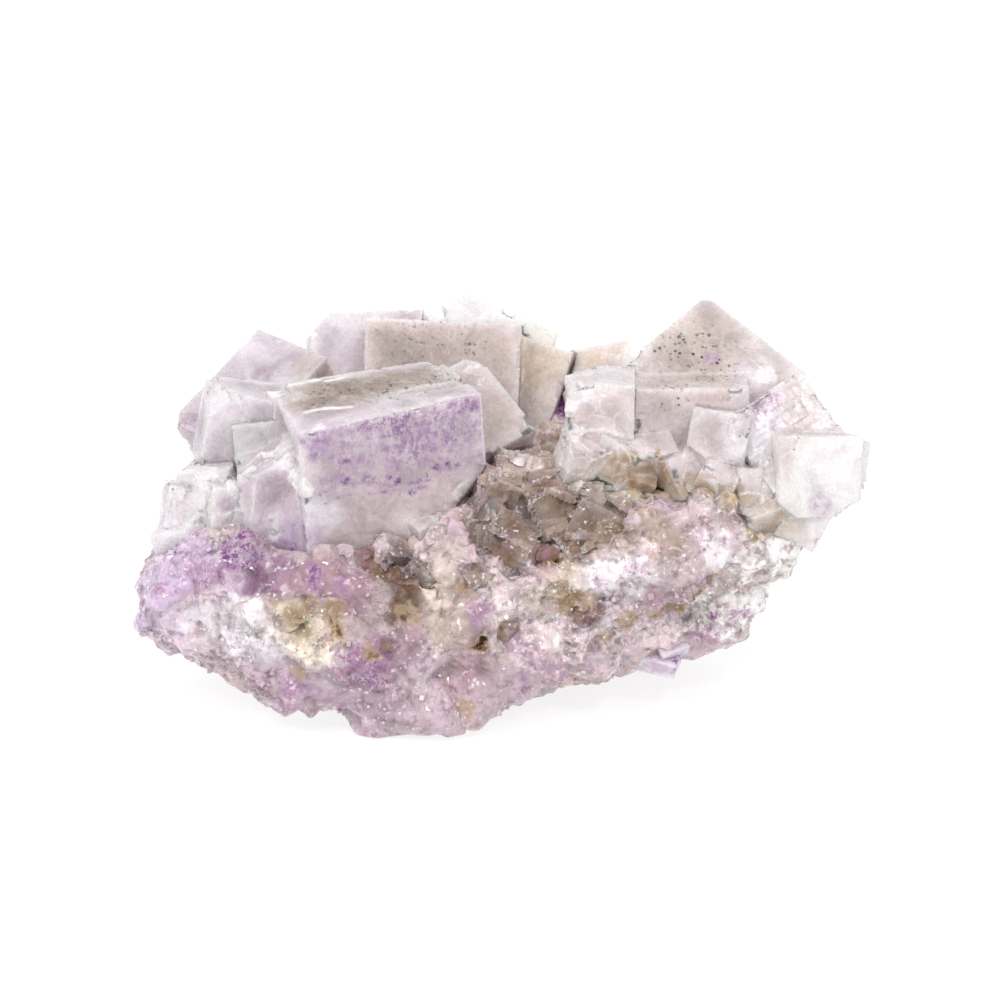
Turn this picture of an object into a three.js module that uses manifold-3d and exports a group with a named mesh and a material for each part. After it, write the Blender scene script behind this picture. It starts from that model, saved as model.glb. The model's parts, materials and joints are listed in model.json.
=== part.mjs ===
// Fluorite cluster: cube-shaped crystals of pale violet fluorite, grown together in groups on a
// lump of grainy matrix. Millimetres, +Z up, the widest extent along X, the show side towards -Y.
// It rests on a flat patch sawn across the underside.
import * as THREE from "three";
import { mergeVertices } from "three/addons/utils/BufferGeometryUtils.js";
import Module from "manifold-3d";

const wasm = await Module();
wasm.setup();

// Driving dimensions.
const GAP = 0.3; // seam between pieces that grew apart
const LOBE_DETAIL = 3; // subdivision of the matrix lumps
const LOBE_SQUARENESS = 2.8; // 2 is an ellipsoid, higher is closer to a block
const LOBE_ROUGHNESS = 0.08; // how far a lump waves in and out, as a part of its radius
const KNIFE = 90; // edge of the block that trims corners and the underside
const BIG_CUBE = 19; // edge of the largest cube, at the front left

// The crystals. Each is a block: middle, edge lengths, turn about X, then Y, then Z in degrees.
// A chip trims the corner that lies in the direction `to`, `off` millimetres below its tip.
const FRONT_CUBES = [
  // the largest cube, its lower right corner broken away
  { at: [-12.2, 4.2, 22.4], size: [BIG_CUBE, 12, BIG_CUBE], turn: [-2, -3, 19],
    chips: [{ to: [1, -1, -1], off: 6.6 }, { to: [-1, -1, 1], off: 0.8 }] },
  // its last growth step, set back from the front edge
  { at: [-12.6, 6.4, 22.8], size: [15.5, 8.5, 19], turn: [-2, -3, 19], chips: [] },
  // the stubby block at its left
  { at: [-21.4, 0.7, 22.4], size: [9.5, 8, 13], turn: [0, -3, 8],
    chips: [{ to: [1, -1, 1], off: 3.4 }, { to: [-1, -1, 1], off: 0.7 }] },
  // the small tilted cube above it
  { at: [-26.2, 7.7, 27], size: [8.5, 7, 8.5], turn: [0, 11, 12],
    chips: [{ to: [1, -1, 1], off: 1.2 }, { to: [-1, 1, 1], off: 1 }] },
  // the cube tipped on its corner behind the largest one
  { at: [-4.2, 12.4, 25], size: [11, 7, 11], turn: [-71, 33, -47],
    chips: [{ to: [-1, -1, 1], off: 0.8 }] },
];
const LEFT_REAR_CUBE = [
  { at: [-24.6, 16.3, 25.3], size: [11, 9, 14], turn: [-57, 4, -45],
    chips: [{ to: [-1, -1, -1], off: 0.8 }] },
];
const REAR_CUBES = [
  { at: [-6.2, 22.7, 26.4], size: [16.4, 9, 14], turn: [-20, 2, -1], chips: [] },
  { at: [-14.6, 26.6, 26.4], size: [12.4, 5.5, 14], turn: [-20, -1, 6],
    chips: [{ to: [-1, 0, 1], off: 1.8 }] },
  { at: [2.6, 24, 25.4], size: [8, 6, 11], turn: [-28, 14, -14], chips: [] },
];
const REAR_CREST = [
  { at: [-1.8, 27.6, 27], size: [12, 7, 12], turn: [-51, 20, -15],
    chips: [{ to: [-1, -1, 1], off: 0.8 }] },
  { at: [-8, 28.4, 28.2], size: [7, 5, 9], turn: [-35, -20, -5], chips: [] },
];
const REAR_RIGHT_CRYSTALS = [
  { at: [10.6, 25.4, 24.8], size: [8, 7, 10], turn: [-25, -8, 8],
    chips: [{ to: [-1, -1, 1], off: 1 }] },
  { at: [14.2, 22.8, 25], size: [5, 5, 9], turn: [-25, 10, 25], chips: [] },
];
const RIGHT_CUBES = [
  { at: [10.1, 5.2, 29.4], size: [6.9, 6.5, 8], turn: [0, 0, -2],
    chips: [{ to: [-1, 1, 1], off: 1.9 }] },
  { at: [19.1, 6.4, 28.7], size: [11.4, 7, 8], turn: [0, 0, 2], chips: [] },
  // the tallest cube, standing on its edge
  { at: [21.7, 10.8, 30], size: [13.6, 8, 12.4], turn: [-62, 26, -38],
    chips: [{ to: [-1, -1, 1], off: 0.5 }, { to: [1, -1, -1], off: 3 }] },
  { at: [28.3, 2.8, 27.3], size: [9, 7, 9.5], turn: [-52, 45, -39], chips: [] },
  { at: [31.1, -0.8, 25], size: [8.4, 6, 8], turn: [-14, 3, 8],
    chips: [{ to: [1, -1, -1], off: 1 }] },
  { at: [21.7, 0.9, 27.8], size: [5.8, 5, 6.4], turn: [-15, 6, -8],
    chips: [{ to: [-1, -1, 1], off: 0.8 }] },
];
const SMOKY_CRYSTALS = [
  { at: [2, 9.5, 20.8], size: [6, 5, 6], turn: [10, 10, 30], chips: [] },
  { at: [5.2, 6.6, 19.4], size: [5.4, 5, 6], turn: [20, -12, 12], chips: [] },
  { at: [-0.4, 4.2, 18.8], size: [4, 4, 5.4], turn: [5, 24, 20], chips: [] },
  { at: [10.6, 5.4, 18.6], size: [6, 5, 5.6], turn: [-10, 12, -24], chips: [] },
];
const LEFT_EDGE_CRYSTALS = [
  { at: [-29.8, 3.2, 20.2], size: [6.8, 7, 9], turn: [-5, -4, -10],
    chips: [{ to: [-1, 0, 1], off: 1.5 }] },
];
const FOOT_CRYSTALS = [
  { at: [15.9, -0.6, 5.4], size: [5, 2.4, 2.2], turn: [0, 16, -20], chips: [] },
];
const BACK_CRYSTALS = [
  { at: [-18, 25.5, 13], size: [9, 8, 9], turn: [8, 18, 34],
    chips: [{ to: [1, 1, 1], off: 0.8 }] },
  { at: [-9.5, 28, 11.4], size: [9, 8, 7], turn: [-14, 10, 12], chips: [] },
];

// The lumps of the matrix: middle, half extents along X, Y and Z, and turn about Y in degrees.
const MATRIX_LOBES = [
  // the show side, from left to right
  { at: [-29, -0.5, 12.5], radii: [7, 6.5, 6], tilt: 0 },
  { at: [-25, -1.5, 11.6], radii: [8, 7, 8], tilt: 20 },
  { at: [-19.5, -3.6, 9], radii: [8.5, 7, 6.6], tilt: 35 },
  { at: [-14, -3.5, 9], radii: [9, 7.5, 9], tilt: 10 },
  { at: [-10.4, -2, 4], radii: [6.8, 8.8, 6], tilt: -8 },
  { at: [-2, -2.5, 9.4], radii: [7.6, 7, 9.2], tilt: -10 },
  { at: [4, -2, 11], radii: [8, 6.5, 8], tilt: -20 },
  { at: [-3, 0, 16], radii: [6, 6.5, 5], tilt: 0 },
  { at: [12, -0.5, 15], radii: [9, 6.5, 7.5], tilt: -15 },
  { at: [9, 2, 7.8], radii: [12, 6.5, 5.6], tilt: -15 },
  { at: [20.6, 2.5, 11.6], radii: [7, 5.5, 5.6], tilt: -35 },
  { at: [21, 2, 17], radii: [9, 7, 6.5], tilt: -25 },
  { at: [25.4, 3, 19], radii: [6, 6, 5], tilt: -40 },
  // the saddle between the cubes
  { at: [5, 6, 13], radii: [9, 8, 6], tilt: 0 },
  { at: [17, 6, 18.5], radii: [10, 8, 6], tilt: -10 },
  { at: [-8, 15, 18], radii: [13, 8, 7], tilt: 0 },
  // the back
  { at: [-25, 10, 17], radii: [8, 9, 7], tilt: 0 },
  { at: [-16, 18, 15], radii: [12, 10, 9.5], tilt: 15 },
  { at: [1, 23, 15], radii: [15, 9.5, 10], tilt: 0 },
  { at: [18, 15, 16], radii: [11, 9, 9], tilt: -20 },
  { at: [-14, 25, 16], radii: [10, 7.5, 7.5], tilt: 10 },
  // the core
  { at: [-3, 11, 7], radii: [16, 12.4, 9], tilt: -6 },
  { at: [-16, 7, 12], radii: [11, 8, 8], tilt: 0 },
];

const radians = (degrees) => (degrees * Math.PI) / 180;

// A three.js geometry, moved into place, as a solid for joining and cutting.
function solidOf(geometry) {
  const bare = geometry.clone();
  bare.deleteAttribute("normal");
  bare.deleteAttribute("uv");
  const welded = mergeVertices(bare, 1e-4);
  const mesh = new wasm.Mesh({
    numProp: 3,
    vertProperties: new Float32Array(welded.attributes.position.array),
    triVerts: new Uint32Array(welded.index.array),
  });
  return new wasm.Manifold(mesh);
}

// Every solid of a list joined in one.
function joined(solids) {
  return solids.reduce((whole, next) => whole.add(next));
}

// A block turned about X, Y and Z, with its middle at `at`.
function blockSolid(size, turn, at) {
  const geometry = new THREE.BoxGeometry(...size);
  const angles = new THREE.Euler(...turn.map(radians), "ZYX");
  geometry.applyMatrix4(new THREE.Matrix4().makeRotationFromEuler(angles));
  geometry.translate(...at);
  return solidOf(geometry);
}

// One crystal: its block with the chipped corners trimmed. `extra` grows every side.
function crystalSolid(crystal, extra = 0) {
  const size = crystal.size.map((edge) => edge + 2 * extra);
  const angles = new THREE.Euler(...crystal.turn.map(radians), "ZYX");
  let solid = blockSolid(size, crystal.turn, crystal.at);
  for (const chip of crystal.chips) {
    const toCorner = new THREE.Vector3(...chip.to);
    const corner = toCorner.clone().multiply(new THREE.Vector3(...crystal.size)).multiplyScalar(0.5);
    const outward = toCorner.clone().normalize().applyEuler(angles);
    const reach = corner.applyEuler(angles).dot(outward) - chip.off + extra;
    const knife = new THREE.BoxGeometry(KNIFE, KNIFE, KNIFE);
    knife.translate(0, 0, KNIFE / 2 + reach);
    const aim = new THREE.Quaternion().setFromUnitVectors(new THREE.Vector3(0, 0, 1), outward);
    knife.applyQuaternion(aim);
    knife.translate(...crystal.at);
    solid = solid.subtract(solidOf(knife));
  }
  return solid;
}

const groupSolid = (crystals) => joined(crystals.map((crystal) => crystalSolid(crystal)));
const socketSolid = (crystals) => joined(crystals.map((crystal) => crystalSolid(crystal, GAP)));

// One lump of the matrix: an icosphere squared off towards a block, pushed in and out by crossing
// waves, then stretched and tilted.
function lobeSolid(lobe, index) {
  const geometry = new THREE.IcosahedronGeometry(1, LOBE_DETAIL);
  const position = geometry.getAttribute("position");
  const point = new THREE.Vector3();
  for (let i = 0; i < position.count; i += 1) {
    point.fromBufferAttribute(position, i).normalize();
    const powers = [point.x, point.y, point.z].map((v) => Math.abs(v) ** LOBE_SQUARENESS);
    const squared = (powers[0] + powers[1] + powers[2]) ** (-1 / LOBE_SQUARENESS);
    const wave =
      Math.sin(4.1 * point.x + 2.3 * point.z + 1.7 * index) *
        Math.cos(3.7 * point.y - 2.9 * point.x + 0.9 * index) +
      0.6 * Math.sin(7.3 * point.z + 5.1 * point.y + 2.2 * index);
    point.multiplyScalar(squared * (0.94 + LOBE_ROUGHNESS * wave));
    position.setXYZ(i, point.x, point.y, point.z);
  }
  geometry.scale(...lobe.radii);
  geometry.rotateY(radians(lobe.tilt));
  geometry.translate(...lobe.at);
  return solidOf(geometry);
}

// The largest body of a solid, so no splinter is left behind by a cut.
function mainBody(solid) {
  return solid.decompose().reduce((a, b) => (a.volume() > b.volume() ? a : b));
}

// A named, closed mesh with its own material.
function piece(name, solid, color, roughness) {
  const made = solid.getMesh();
  const geometry = new THREE.BufferGeometry();
  geometry.setAttribute("position", new THREE.BufferAttribute(made.vertProperties, 3));
  geometry.setIndex(new THREE.BufferAttribute(made.triVerts, 1));
  const flat = geometry.toNonIndexed();
  flat.computeVertexNormals();
  const material = new THREE.MeshStandardMaterial({ color, roughness, metalness: 0 });
  const mesh = new THREE.Mesh(flat, material);
  mesh.name = name;
  return mesh;
}

// Each crystal group keeps clear of the ones before it; the matrix keeps clear of them all.
const GROUPS = [
  { name: "front_purple_cubes", crystals: FRONT_CUBES, color: 0xc9b7c6 },
  { name: "right_pale_cubes", crystals: RIGHT_CUBES, color: 0xdfd5d6 },
  { name: "rear_cubes", crystals: REAR_CUBES, color: 0xc9b8b2 },
  { name: "left_rear_cube", crystals: LEFT_REAR_CUBE, color: 0xdcd3dc },
  { name: "rear_crest", crystals: REAR_CREST, color: 0xf1ede4 },
  { name: "rear_right_crystals", crystals: REAR_RIGHT_CRYSTALS, color: 0xe4ddce },
  { name: "back_crystals", crystals: BACK_CRYSTALS, color: 0xd2c6d2 },
  { name: "left_edge_crystals", crystals: LEFT_EDGE_CRYSTALS, color: 0xe7dee3 },
  { name: "smoky_crystals", crystals: SMOKY_CRYSTALS, color: 0x917760 },
  { name: "foot_crystals", crystals: FOOT_CRYSTALS, color: 0xb79fd0 },
];

const group = new THREE.Group();
let sockets = null;
for (const { name, crystals, color } of GROUPS) {
  const whole = groupSolid(crystals);
  const solid = sockets ? mainBody(whole.subtract(sockets)) : whole;
  const socket = socketSolid(crystals);
  sockets = sockets ? sockets.add(socket) : socket;
  group.add(piece(name, solid, color, 0.25));
}

const below = new THREE.BoxGeometry(KNIFE, KNIFE, KNIFE).translate(0, 0, -KNIFE / 2);
const lump = joined(MATRIX_LOBES.map(lobeSolid)).subtract(solidOf(below));
group.add(piece("matrix", mainBody(lump.subtract(sockets)), 0xcbb9ba, 0.8));

// The part's frame: the middle of the footprint, with the sawn patch on Z = 0.
const bounds = new THREE.Box3().setFromObject(group);
const middle = bounds.getCenter(new THREE.Vector3());
group.position.set(-middle.x, -middle.y, -bounds.min.z);

export default group;
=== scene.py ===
# %% [markdown]
# # A fluorite cluster
# This lesson dresses a plain CAD model of a mineral specimen: cubes of pale violet fluorite that grew
# through each other on a lump of sugary matrix. The CAD model fixes every size and place. Here each
# crystal group gets growth steps, worn edges, veils and specks, and the matrix gets its grains.

import json
import math
from types import SimpleNamespace

import bpy
import numpy as np
from mathutils import Euler, Matrix, Vector
from mathutils.bvhtree import BVHTree
from mathutils.kdtree import KDTree

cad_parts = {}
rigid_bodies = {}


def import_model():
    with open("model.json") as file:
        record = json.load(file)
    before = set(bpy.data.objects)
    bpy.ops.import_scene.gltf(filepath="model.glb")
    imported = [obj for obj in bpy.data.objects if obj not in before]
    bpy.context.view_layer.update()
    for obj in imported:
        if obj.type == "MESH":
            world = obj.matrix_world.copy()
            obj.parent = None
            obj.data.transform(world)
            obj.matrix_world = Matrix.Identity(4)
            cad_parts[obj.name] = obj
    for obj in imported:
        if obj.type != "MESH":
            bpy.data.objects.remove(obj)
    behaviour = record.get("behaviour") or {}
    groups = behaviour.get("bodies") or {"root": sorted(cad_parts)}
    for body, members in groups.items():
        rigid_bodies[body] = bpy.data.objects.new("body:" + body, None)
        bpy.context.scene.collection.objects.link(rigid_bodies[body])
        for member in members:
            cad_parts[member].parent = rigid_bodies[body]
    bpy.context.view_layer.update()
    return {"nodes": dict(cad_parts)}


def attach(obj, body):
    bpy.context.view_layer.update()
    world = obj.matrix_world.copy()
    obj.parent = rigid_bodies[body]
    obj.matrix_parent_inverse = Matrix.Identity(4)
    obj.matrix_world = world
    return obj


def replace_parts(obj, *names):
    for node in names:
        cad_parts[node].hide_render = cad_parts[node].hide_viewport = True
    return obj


MM = 0.001
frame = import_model()

# %% [markdown]
# ## Small helpers
# Blender's operators act on whatever is selected, so one helper clears the selection and makes one
# object active. A CAD node arrives as loose triangles: it is never touched, and a copy of it is
# welded and has its flat faces rejoined before anything else is done.

# %% Select, apply, copy


def only(obj):
    """Makes obj the one selected and active object."""
    for other in bpy.context.view_layer.objects:
        other.select_set(False)
    obj.select_set(True)
    bpy.context.view_layer.objects.active = obj


def apply_modifier(obj, kind, **settings):
    """Adds one modifier with these settings and applies it."""
    only(obj)
    modifier = obj.modifiers.new(kind.title(), kind)
    for name, value in settings.items():
        setattr(modifier, name, value)
    bpy.ops.object.modifier_apply(modifier=modifier.name)
    return obj


def in_edit_mode(obj, work):
    """Selects the whole mesh in edit mode, does the work, and comes back."""
    only(obj)
    bpy.ops.object.mode_set(mode="EDIT")
    bpy.ops.mesh.select_all(action="SELECT")
    work()
    bpy.ops.object.mode_set(mode="OBJECT")


def welded_copy(node, name):
    """A copy of a CAD node's mesh with its doubles merged and its flat faces rejoined."""
    obj = bpy.data.objects.new(name, frame["nodes"][node].data.copy())
    obj.data.name = name
    obj.data.materials.clear()
    bpy.context.scene.collection.objects.link(obj)

    def weld():
        bpy.ops.mesh.remove_doubles(threshold=0.002 * MM)
        bpy.ops.mesh.dissolve_limited(angle_limit=math.radians(0.5))

    in_edit_mode(obj, weld)
    return obj


# %% Read a mesh


def vectors(items, name):
    """The vector called name of every item, as rows."""
    flat = np.empty(len(items) * 3, np.float32)
    items.foreach_get(name, flat)
    return flat.reshape(-1, 3).astype(float)


def places(obj):
    """Every vertex of obj, in millimetres."""
    return vectors(obj.data.vertices, "co") / MM


def normals(obj):
    """Every vertex normal of obj."""
    return vectors(obj.data.vertices, "normal")


# %% [markdown]
# ## Noise that can be measured
# Growth steps, stains and grain need random patterns that are the same on every run. Value noise
# blends random numbers at the corners of a lattice. Blender's noise textures look the same, but
# they stay inside a material, and these numbers also have to move vertices.

# %% Value noise


def hashed(cells, salt):
    """A random number from 0 to 1 for each whole-number cell."""
    x, y, z = (cells[:, i].astype(np.int64) for i in range(3))
    h = (x * 374761393 + y * 668265263 + z * 1442695041 + salt * 974634777) & 0xFFFFFFFF
    h = ((h ^ (h >> 13)) * 1274126177) & 0xFFFFFFFF
    h = ((h ^ (h >> 16)) * 2246822519) & 0xFFFFFFFF
    return ((h ^ (h >> 15)) & 0xFFFFFF) / float(0xFFFFFF)


def cloud(points, size, salt):
    """Smooth noise from 0 to 1 whose features are about size millimetres wide."""
    scaled = points / size
    base = np.floor(scaled)
    blend = scaled - base
    blend = blend * blend * (3 - 2 * blend)
    total = 0
    for corner in np.ndindex(2, 2, 2):
        share = np.where(corner, blend, 1 - blend).prod(axis=1)
        total = total + share * hashed(base + corner, salt)
    return total


def billow(points, size, salt, layers=3):
    """Noise from 0 to 1 with finer detail laid over coarse."""
    parts = [cloud(points, size / 2**i, salt + 17 * i) / 2**i for i in range(layers)]
    return sum(parts) / sum(1 / 2**i for i in range(layers))


def smooth(value, low, high):
    """0 below low, 1 above high, and a soft step between."""
    t = np.clip((value - low) / (high - low), 0, 1)
    return t * t * (3 - 2 * t)


# %% [markdown]
# ## Grains side by side
# Crystals that grow side by side meet in flat faces. Cell noise gives each point to the nearest of
# a cloud of random seeds, so its borders are the borders of grains. A Voronoi texture does the same
# for colour. Worked out here, it can tilt and lift each grain's own facet as well.

# %% Cell noise


def facets(points, size, salt, tilt, lift):
    """Intergrown grains: the relief in mm of flat tilted facets, the gap to the next grain in mm,
    and the grain's own number."""
    base = np.floor(points / size)
    nearest = np.full(len(points), np.inf)
    second = nearest.copy()
    home = base.copy()
    heart = points.copy()
    for way in np.ndindex(3, 3, 3):
        cell = base + way - 1
        seed = cell + np.stack([hashed(cell, salt + k) for k in range(3)], axis=1)
        away = np.linalg.norm(points / size - seed, axis=1)
        closer = away < nearest
        second = np.where(closer, nearest, np.minimum(second, away))
        home[closer] = cell[closer]
        heart[closer] = seed[closer]
        nearest = np.minimum(nearest, away)
    lean = np.stack([hashed(home, salt + 4 + k) for k in range(3)], axis=1) * 2 - 1
    number = hashed(home, salt + 7)
    relief = (lean * (points / size - heart)).sum(axis=1) * tilt * size + (number - 0.5) * lift
    return relief, (second - nearest) * size, number


# %% [markdown]
# ## Cubes grown through each other
# Fluorite's grains are cubes, so round or ragged noise looks wrong on it. Each lattice cell holds
# one cube at a random place and turn, and the surface follows the cube that covers a point best.
# Real cubes joined by Booleans would give this shape too, but thousands of them are too slow.

# %% Intergrown cubes


def turns(cells, salt):
    """A random turn for each cell, as three square axes."""
    q = np.stack([hashed(cells, salt + k) - 0.5 for k in range(4)], axis=1)
    w, x, y, z = (q / np.linalg.norm(q, axis=1)[:, None]).T
    return (
        (1 - 2 * (y * y + z * z), 2 * (x * y - w * z), 2 * (x * z + w * y)),
        (2 * (x * y + w * z), 1 - 2 * (x * x + z * z), 2 * (y * z - w * x)),
        (2 * (x * z - w * y), 2 * (y * z + w * x), 1 - 2 * (x * x + y * y)),
    )


def cubes(points, size, salt):
    """Randomly turned cubes grown through each other: how deep each point lies in the one that
    covers it best, how much deeper than in the next (both in mm), and that cube's own number."""
    base = np.floor(points / size)
    best = np.full(len(points), -np.inf)
    second = best.copy()
    number = np.zeros(len(points))
    for way in np.ndindex(3, 3, 3):
        cell = base + way - 1
        seed = cell + np.stack([hashed(cell, salt + k) for k in range(3)], axis=1)
        away = (points / size - seed).T
        sides = [abs(sum(a * d for a, d in zip(axis, away))) for axis in turns(cell, salt + 3)]
        own = hashed(cell, salt + 7)
        depth = 0.45 + 0.25 * own - np.maximum.reduce(sides)
        better = depth > best
        second = np.where(better, best, np.maximum(second, depth))
        number = np.where(better, own, number)
        best = np.maximum(best, depth)
    return best * size, (best - second) * size, number


# %% [markdown]
# ## Colours laid one by one
# The stone's colours lie in patches and streaks that belong to its features. They are laid as in a
# watercolour: a few named tints, each washed over a place or along a path in millimetres, with a
# ragged edge. An image could hold them too, but a path can be read, moved and mended.

# %% Marks and strokes


def nearness(points, x, y, z, radius, ripple):
    """1 at the middle of a mark and 0 outside it, with a ragged edge."""
    away = np.linalg.norm(points - (x, y, z), axis=1) / radius
    return smooth(1 - away + ripple, -0.1, 0.6)


def spots(points, marks, ragged=0.5, salt=5, ripple=0):
    """How strongly each point lies in any of the marks (x, y, z, radius, strength)."""
    ripple = (billow(points, 1.2, salt) - 0.5) * 2 * ragged + ripple
    total = np.zeros(len(points))
    for x, y, z, radius, strength in marks:
        total = np.maximum(total, strength * nearness(points, x, y, z, radius, ripple))
    return total


def closeness(points, path, radius, ripple):
    """1 along a path of places, or at a single one, and 0 outside its radius, with a ragged edge."""
    away = np.full(len(points), np.inf)
    for start, end in zip(path, path[1:] or path):
        start, along = np.array(start), np.subtract(end, start)
        share = np.clip((points - start) @ along / max(along @ along, 1e-9), 0, 1)[:, None]
        away = np.minimum(away, np.linalg.norm(points - start - share * along, axis=1))
    return smooth(1 - away / radius + ripple, -0.1, 0.6)


def strokes(points, lines, ragged=0.5, salt=6):
    """How strongly each point lies along any of the lines (places, radius, strength)."""
    ripple = (billow(points, 1.0, salt) - 0.5) * 2 * ragged
    total = np.zeros(len(points))
    for path, radius, strength in lines:
        total = np.maximum(total, strength * closeness(points, path, radius, ripple))
    return total


# %% Tints and washes


def linear(rgb):
    """A colour from 0 to 255 as it looks, as the linear colour that shaders use."""
    value = np.asarray(rgb, float) / 255
    return np.where(value <= 0.04045, value / 12.92, ((value + 0.055) / 1.055) ** 2.4)


TINTS = {
    # the few colours that this stone comes in, as they look
    "frost": (254, 250, 250),
    "milk": (238, 230, 236),
    "rose": (226, 208, 212),
    "lilac": (208, 186, 212),
    "haze": (194, 174, 186),
    "mauve": (174, 144, 156),
    "plum": (140, 102, 132),
    "violet": (118, 66, 138),
    "cream": (238, 222, 204),
    "fawn": (212, 197, 190),
    "sand": (200, 184, 166),
    "straw": (190, 170, 132),
    "ash": (186, 166, 154),
    "dun": (172, 154, 138),
    "smoke": (116, 85, 54),
    "umber": (90, 60, 38),
}


def drift(points, base, size, salt, tints):
    """The base colour, drifting into each of the tints in clouds of about size mm, less in front."""
    colours = np.tile(linear(base), (len(points), 1))
    for number, tint in enumerate(tints):
        amount = 0.8 * smooth(billow(points, size, salt + number, 4), 0.5, 0.64)[:, None]
        amount *= 0.3 + 0.7 * smooth(points[:, 1], -14.0, -4.0)[:, None]
        colours += (linear(TINTS[tint]) - colours) * amount
    return colours


def washes(points, base, marks, ripple):
    """A colour for each point: the base colours, with each mark (tint, radius, path) over them."""
    colours = base.copy()
    for tint, radius, path in marks:
        amount = closeness(points, path, radius, ripple)[:, None]
        colours += (linear(TINTS[tint]) - colours) * amount
    return colours


# %% [markdown]
# ## Relief by weight
# A Displace modifier with no texture moves each vertex along its normal by its weight in a vertex
# group. So the relief is worked out as numbers first, in millimetres, and two Displace modifiers
# then swell and wear the surface by it.

# %% Swell and wear


def weigh(obj, name, values):
    """A vertex group with one weight for each vertex."""
    group = obj.vertex_groups.new(name=name)
    for index, value in enumerate(values.tolist()):
        if value > 0.001:
            group.add((index,), value, "REPLACE")


def relieve(obj, relief):
    """Moves the surface out where relief (in mm) is positive and in where it is negative."""
    for name, values, sign in (("swell", relief, 1), ("wear", -relief, -1)):
        reach = max(float(values.max()), 1e-6)
        weigh(obj, name, np.clip(values / reach, 0, 1))
        apply_modifier(
            obj, "DISPLACE", vertex_group=name, strength=sign * reach * MM, mid_level=0
        )
    obj.vertex_groups.clear()


def store(obj, name, columns):
    """Stores up to four numbers on each vertex as a colour attribute."""
    values = np.ones((len(obj.data.vertices), 4), np.float32)
    values[:, : columns.shape[1]] = columns
    layer = obj.data.color_attributes.new(name, "FLOAT_COLOR", "POINT")
    layer.data.foreach_set("color", values.ravel())


# %% [markdown]
# ## Broken shapes
# The CAD cubes are whole. On the specimen several lost a slab or a corner, and small crystals grew
# onto others. Each break is a block laid in a cube's own frame and taken away by a Boolean
# modifier, and each growth is a block joined on in the same way.

# %% Take away and join on
HOMES = {
    # the middle (mm) and the turn (degrees) of the cubes that are broken or grown upon
    "big": ((-12.2, -8.15, 22.4), (-2, -3, 19)),
    "stub": ((-21.4, -11.65, 22.4), (0, -3, 8)),
    "above_stub": ((-26.2, -4.65, 27.0), (0, 11, 12)),
    "left_edge": ((-29.8, -9.15, 20.2), (-5, -4, -10)),
    "mosaic": ((10.1, -7.15, 29.4), (0, 0, -2)),
    "wide": ((19.1, -5.95, 28.7), (0, 0, 2)),
    "small": ((21.7, -11.45, 27.8), (-15, 6, -8)),
    "milky": ((31.1, -13.15, 25.0), (-14, 3, 8)),
    "frame": ((0, 0, 0), (0, 0, 0)),
}


def turned(degrees):
    return Euler([math.radians(angle) for angle in degrees]).to_matrix().to_4x4()


def block(name, home, place, size, turn):
    """A block with these edge lengths in mm, at a place and turn in a cube's own frame."""
    middle, lean = HOMES[home]
    bpy.ops.mesh.primitive_cube_add(size=1 * MM)
    made = bpy.context.object
    made.name = made.data.name = name
    frame_of_home = Matrix.Translation(Vector(middle) * MM) @ turned(lean)
    made.matrix_world = frame_of_home @ Matrix.Translation(Vector(place) * MM) @ turned(turn)
    made.scale = size
    only(made)
    bpy.ops.object.transform_apply(location=True, rotation=True, scale=True)
    return made


def reshape(obj, operation, blocks):
    """Takes blocks away from obj (DIFFERENCE) or joins them on (UNION)."""
    for number, (home, place, size, turn) in enumerate(blocks):
        other = block(f"{obj.name}_{operation}_{number}", home, place, size, turn)
        apply_modifier(obj, "BOOLEAN", object=other, operation=operation, solver="EXACT")
        bpy.data.objects.remove(other)


# %% [markdown]
# ## Skins fine enough for detail
# The welded copies have a few large faces. The Remesh modifier in its sharp mode lays an even net
# over a solid and keeps its edges crisp, so a net 0.2 mm wide can carry growth steps 0.05 mm high.

# %% Sharp skin


def sharp_skin(obj, cell):
    """An even net of cells about cell millimetres wide over the solid."""
    widest = max(obj.dimensions) / MM
    depth = math.ceil(math.log2(widest / cell))
    share = widest / (cell * 2**depth)
    apply_modifier(
        obj,
        "REMESH",
        mode="SHARP",
        octree_depth=depth,
        scale=min(share, 0.99),
        sharpness=1.0,
        use_remove_disconnected=True,
        threshold=0.05,
    )
    print(obj.name, "skin:", len(obj.data.polygons), "faces")


# %% [markdown]
# ## The crystals' own axes
# Fluorite grows in cubes, and its growth steps run parallel to the cube's faces. Each group holds
# cubes that lean different ways, so the axes of each cube are read from the large flat faces of the
# welded copy: a face's normal, the normal of a face square to it, and their cross product.

# %% Read the axes of every cube
LEAST_FACE = 3 * MM**2
SAME_WAY = math.cos(math.radians(5))


def cube_axes(coarse):
    """Three square axes for each cube in the group, as rows, the most upright one last."""
    faces = sorted(coarse.data.polygons, key=lambda face: -face.area)
    faces = [face for face in faces if face.area > LEAST_FACE]
    found = []
    for face in faces:
        first = face.normal
        if any(np.abs(axes @ first).max() > SAME_WAY for axes in found):
            continue
        square = [f for f in faces if abs(f.normal.dot(first)) < 0.05]
        if square:
            second = (square[0].normal - first * first.dot(square[0].normal)).normalized()
            axes = np.array([first, second, first.cross(second)])
            found.append(axes[np.argsort(np.abs(axes[:, 2]))])
    return found


def own_places(coarse, obj):
    """The cube that each vertex belongs to, and its place along that cube's axes in mm."""
    axes = cube_axes(coarse)
    tree = BVHTree.FromObject(coarse, bpy.context.evaluated_depsgraph_get())
    fits = [
        int(np.argmax([np.abs(own @ face.normal).max() for own in axes]))
        for face in coarse.data.polygons
    ]
    points = places(obj)
    owner = np.array([fits[tree.find_nearest(Vector(p * MM))[2]] for p in points])
    local = np.zeros_like(points)
    for number, own in enumerate(axes):
        mine = owner == number
        local[mine] = points[mine] @ own.T
    return owner, local


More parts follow.
